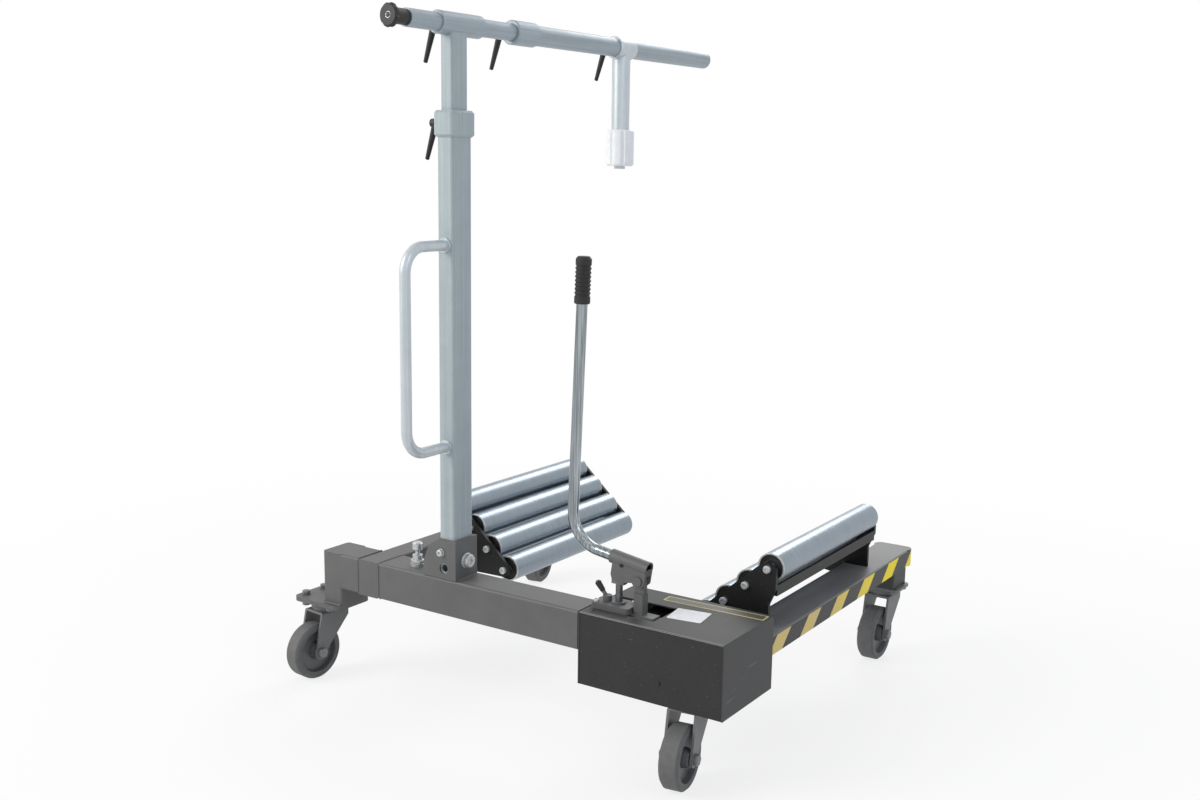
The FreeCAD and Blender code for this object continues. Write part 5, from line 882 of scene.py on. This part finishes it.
add_hexagon(nut, nut_place, (0, 0, 1), across=27, height=8, washer=0)
finish_piece(nut, "plunger_nut", fastener_zinc, "left_frame", angle=30)
print("bracket screws fitted")

# %% [markdown]
# ## Screw and plates on the pump cover
# One pan-head screw holds the front panel. A small aluminium plate sits where such tools carry their
# data and a long yellow-edged strip behind it. Both stay blank.

# %% Panel screw
PAN_HEAD = 4.2
panel_low, panel_high = (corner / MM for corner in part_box("front_panel"))
screw = bmesh.new()
screw_place = (408, panel_low.y, 195)
head = add_disc(screw, screw_place, (0, -1, 0), PAN_HEAD, PAN_HEAD * 0.55, top=PAN_HEAD * 0.9)
soften(screw, head, PAN_HEAD * 0.25, 3)
finish_piece(screw, "panel_screw", blackened_steel, "carriage")
print("panel screw fitted")

# %% Blank plates
def add_plate(shape, middle, width, depth, thickness, turned, corner):
    verts = bmesh.ops.create_cube(shape, size=1.0)["verts"]
    bmesh.ops.scale(shape, verts=verts, vec=(width * MM, depth * MM, thickness * MM))
    upright = [edge for edge in edges_among(shape, verts)
               if abs((edge.verts[0].co - edge.verts[1].co).z) > thickness * MM * 0.5]
    place = Matrix.Translation(Vector(middle) * MM) @ Matrix.Rotation(math.radians(turned), 4, "Z")
    bmesh.ops.transform(shape, matrix=place, verts=verts)
    bevel_edges(shape, upright, corner, 4)


cover_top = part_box("pump_cover")[1].z / MM
plate_metal = small_steel("satin_aluminium_plate", "#c4c6c8", "#d4d6d8", 9.0, 0.4, 0.3)
plate = bmesh.new()
add_plate(plate, (413, -331, cover_top + 0.3), width=70, depth=62, thickness=0.8, turned=8, corner=3)
finish_piece(plate, "blank_data_plate", plate_metal, "carriage")
border_film = moulded("yellow_border_film", "#c9bf72", "#d6cd86", 40, 0.45, 2.0, 0.1)
strip_x = 432
strip_y = -262
border = bmesh.new()
add_plate(border, (strip_x, strip_y, cover_top + 0.1), width=218, depth=27, thickness=0.5, turned=2,
          corner=2)
finish_piece(border, "blank_strip_border", border_film, "carriage")
strip_film = moulded("dark_strip_film", "#4a4a47", "#565651", 40, 0.45, 2.0, 0.1)
strip = bmesh.new()
add_plate(strip, (strip_x, strip_y, cover_top + 0.25), width=212, depth=21, thickness=0.5, turned=2,
          corner=1.5)
finish_piece(strip, "blank_strip", strip_film, "carriage")
print("cover details fitted")

# %% [markdown]
# In front of the pump a sill closes the hatch in the cover's top, and the front panel's upper edge is
# rolled to a round bead. The bead's pale coat is a painted highlight, which shows as a thin light line.

# %% Sill and rolled edge
HATCH_FRONT = -424
HATCH_LEFT = 247
HATCH_RIGHT = 376
PLAY = 1
block_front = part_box("pump_block")[0].y / MM
sill = bmesh.new()
sill_width = HATCH_RIGHT - HATCH_LEFT - PLAY
sill_depth = block_front - HATCH_FRONT - PLAY
sill_middle = ((HATCH_LEFT + HATCH_RIGHT) / 2, HATCH_FRONT + sill_depth / 2, cover_top - 1.3)
add_plate(sill, sill_middle, sill_width, sill_depth, thickness=2, turned=0, corner=0.4)
finish_piece(sill, "hatch_sill", carriage_coat, "carriage")
bead = bmesh.new()
bead_start = (panel_low.x, panel_low.y + 0.6, cover_top - 1.5)
rolled = add_disc(bead, bead_start, (1, 0, 0), 1.7, panel_high.x - panel_low.x, segments=20)
soften(bead, rolled, 0.4)
# The bead's pale coat is a painted highlight along the bend.
finish_piece(bead, "panel_edge_bead", edge_coat_painted_highlight, "carriage")
print("sill depth", round(sill_depth, 1), "mm")

# %% [markdown]
# ## Small parts on the pump
# The release valve's rod ends in a black grip, the lever casting has a set screw on its front, and two
# bright screws hold the head.

# %% Grip on the release valve
VALVE_DEPTH = 11  # spindle in the pump head
ROD_FOOT = 5.5  # over the pump head
ROD_SLANT = 40  # degrees from upright
GRIP_START = 15  # along the rod
valve = pivots["release_valve"] / MM
head_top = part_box("release_valve")[0].z / MM + VALVE_DEPTH - FACE_GAP
slant = math.radians(ROD_SLANT)
rod = Vector((-math.sin(slant), 0, math.cos(slant)))
base = Vector((valve.x, valve.y, head_top + ROD_FOOT))
grip = bmesh.new()
sleeve = add_disc(grip, base + rod * GRIP_START, rod, radius=5, height=22, top=6.6)
soften(grip, sleeve, 2.4, 4)
finish_piece(grip, "release_valve_grip", blackened_steel, "release_valve")
print("valve grip fitted at", [round(value) for value in base])

# %% Screws on the pump head and the lever casting
HEAD_SCREWS = ((239.5, -392), (307.5, -360))
screws = bmesh.new()
for x, y in HEAD_SCREWS:
    add_socket_screw(screws, (x, y, head_top), (0, 0, 1), radius=5.4, height=4.4, key=2.6, depth=2)
finish_piece(screws, "head_screws", fastener_zinc, "carriage", angle=30)
casting_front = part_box("lever_socket")[0].y / MM
set_screw = bmesh.new()
set_place = (294, casting_front - 0.2, 393)
add_socket_screw(set_screw, set_place, (0, -1, 0), radius=3.6, height=1, key=1.8, depth=0.8)
finish_piece(set_screw, "casting_set_screw", blackened_steel, "pump_handle", angle=30)
print("pump screws fitted")

# %% [markdown]
# ## Bush in the end knob
# The moulded knob is lined with a steel bush, which shows as a bright ring in its hole.

# %% Steel bush
BUSH_LENGTH = 30
BUSH_INSET = 0.6
low, high = (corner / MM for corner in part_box("bar_knob"))
centre = Vector(((low.x + high.x) / 2, low.y, (low.z + high.z) / 2))
bush = bmesh.new()
bush_back = centre + Vector((0, BUSH_LENGTH + BUSH_INSET, 0))
add_ring(bush, bush_back, (0, -1, 0), inner=5.2, outer=6.45, height=BUSH_LENGTH, soft=0.3)
finish_piece(bush, "knob_bush", fastener_zinc, "inner_bar")
print("bush fitted at", [round(value) for value in centre])

# %% [markdown]
# ## Studio
# A plain pale floor and a white surround. Three large soft lamps do the lighting: a broad one over the
# left shoulder of the camera, a weak and cooler one from the right, which turns the right sides of the
# zinc tubes blue as in the picture, and one from behind that draws a line on the tubes. To the camera
# the floor is mostly plain white, and wholly white further out, so it has no horizon, but round the
# casters it still keeps the soft shadow.

# %% Floor and surround
FLOOR_REACH = 30
SHADOW_REACH = 0.7  # metres from the origin
WHITE_REACH = 2.4
WHITE_NEAR = 0.78  # share of plain white round the casters
floor_shape = bmesh.new()
bmesh.ops.create_grid(floor_shape, x_segments=1, y_segments=1, size=FLOOR_REACH)
floor_mesh = bpy.data.meshes.new("studio_floor")
floor_shape.to_mesh(floor_mesh)
floor_shape.free()
floor = bpy.data.objects.new("studio_floor", floor_mesh)
bpy.context.scene.collection.objects.link(floor)


def seen_plainly(tree_owner):
    """1 for rays from the camera, in a mirror or through clear material, and 0 for rays of light."""
    path = add_node(tree_owner, "ShaderNodeLightPath").outputs
    mirrored = add_node(tree_owner, "ShaderNodeMath", {
        0: path["Is Camera Ray"], 1: path["Is Glossy Ray"]}, operation="MAXIMUM")
    through = add_node(tree_owner, "ShaderNodeMath", {
        0: mirrored.outputs["Value"], 1: path["Is Transmission Ray"]}, operation="MAXIMUM")
    return through.outputs["Value"]


floor_finish, place = new_finish("pale_studio_floor")
matt = add_node(floor_finish, "ShaderNodeBsdfDiffuse", {"Color": colour("#f4f4f4")})
glow = add_node(floor_finish, "ShaderNodeEmission", {"Color": colour("#ffffff"), "Strength": 1.0})
distance = add_node(floor_finish, "ShaderNodeVectorMath", {0: place}, operation="LENGTH")
white_share = add_node(floor_finish, "ShaderNodeMapRange", {
    "Value": distance.outputs["Value"], "From Min": SHADOW_REACH, "From Max": WHITE_REACH,
    "To Min": WHITE_NEAR, "To Max": 1.0})
share = add_node(floor_finish, "ShaderNodeMath", {
    0: seen_plainly(floor_finish), 1: white_share.outputs["Result"]}, operation="MULTIPLY")
both = add_node(floor_finish, "ShaderNodeMixShader", {
    0: share.outputs["Value"], 1: matt.outputs["BSDF"], 2: glow.outputs["Emission"]})
add_node(floor_finish, "ShaderNodeOutputMaterial", {"Surface": both.outputs["Shader"]})
floor_mesh.materials.append(floor_finish)

world = bpy.data.worlds.new("white_surround")
bpy.context.scene.world = world
world.use_nodes = True
world.node_tree.nodes.clear()
strength = add_node(world, "ShaderNodeMapRange", {
    "Value": seen_plainly(world), "To Min": 0.5, "To Max": 1.0})
white = add_node(world, "ShaderNodeBackground", {
    "Color": colour("#ffffff"), "Strength": strength.outputs["Result"]})
add_node(world, "ShaderNodeOutputWorld", {"Surface": white.outputs["Background"]})
print("floor and surround ready")

# %% Lamps
def add_lamp(name, position, target, size, power, tint):
    lamp = bpy.data.objects.new(name, bpy.data.lights.new(name, "AREA"))
    lamp.data.shape = "DISK"
    lamp.data.size = size
    lamp.data.energy = power
    lamp.data.color = colour(tint)[:3]
    lamp.location = position
    lamp.rotation_euler = (Vector(target) - Vector(position)).to_track_quat("-Z", "Y").to_euler()
    bpy.context.scene.collection.objects.link(lamp)


add_lamp("broad_left_lamp", (-2.9, -3.7, 3.1), (0, 0, 0.5), size=2.8, power=142, tint="#fffdf9")
add_lamp("soft_right_lamp", (3.4, -1.2, 2.6), (0, 0, 0.5), size=2.0, power=24, tint="#d2e2ff")
add_lamp("rim_lamp", (-0.6, 3.6, 3.0), (0, 0, 0.6), size=2.0, power=55, tint="#ffffff")
print("studio ready")
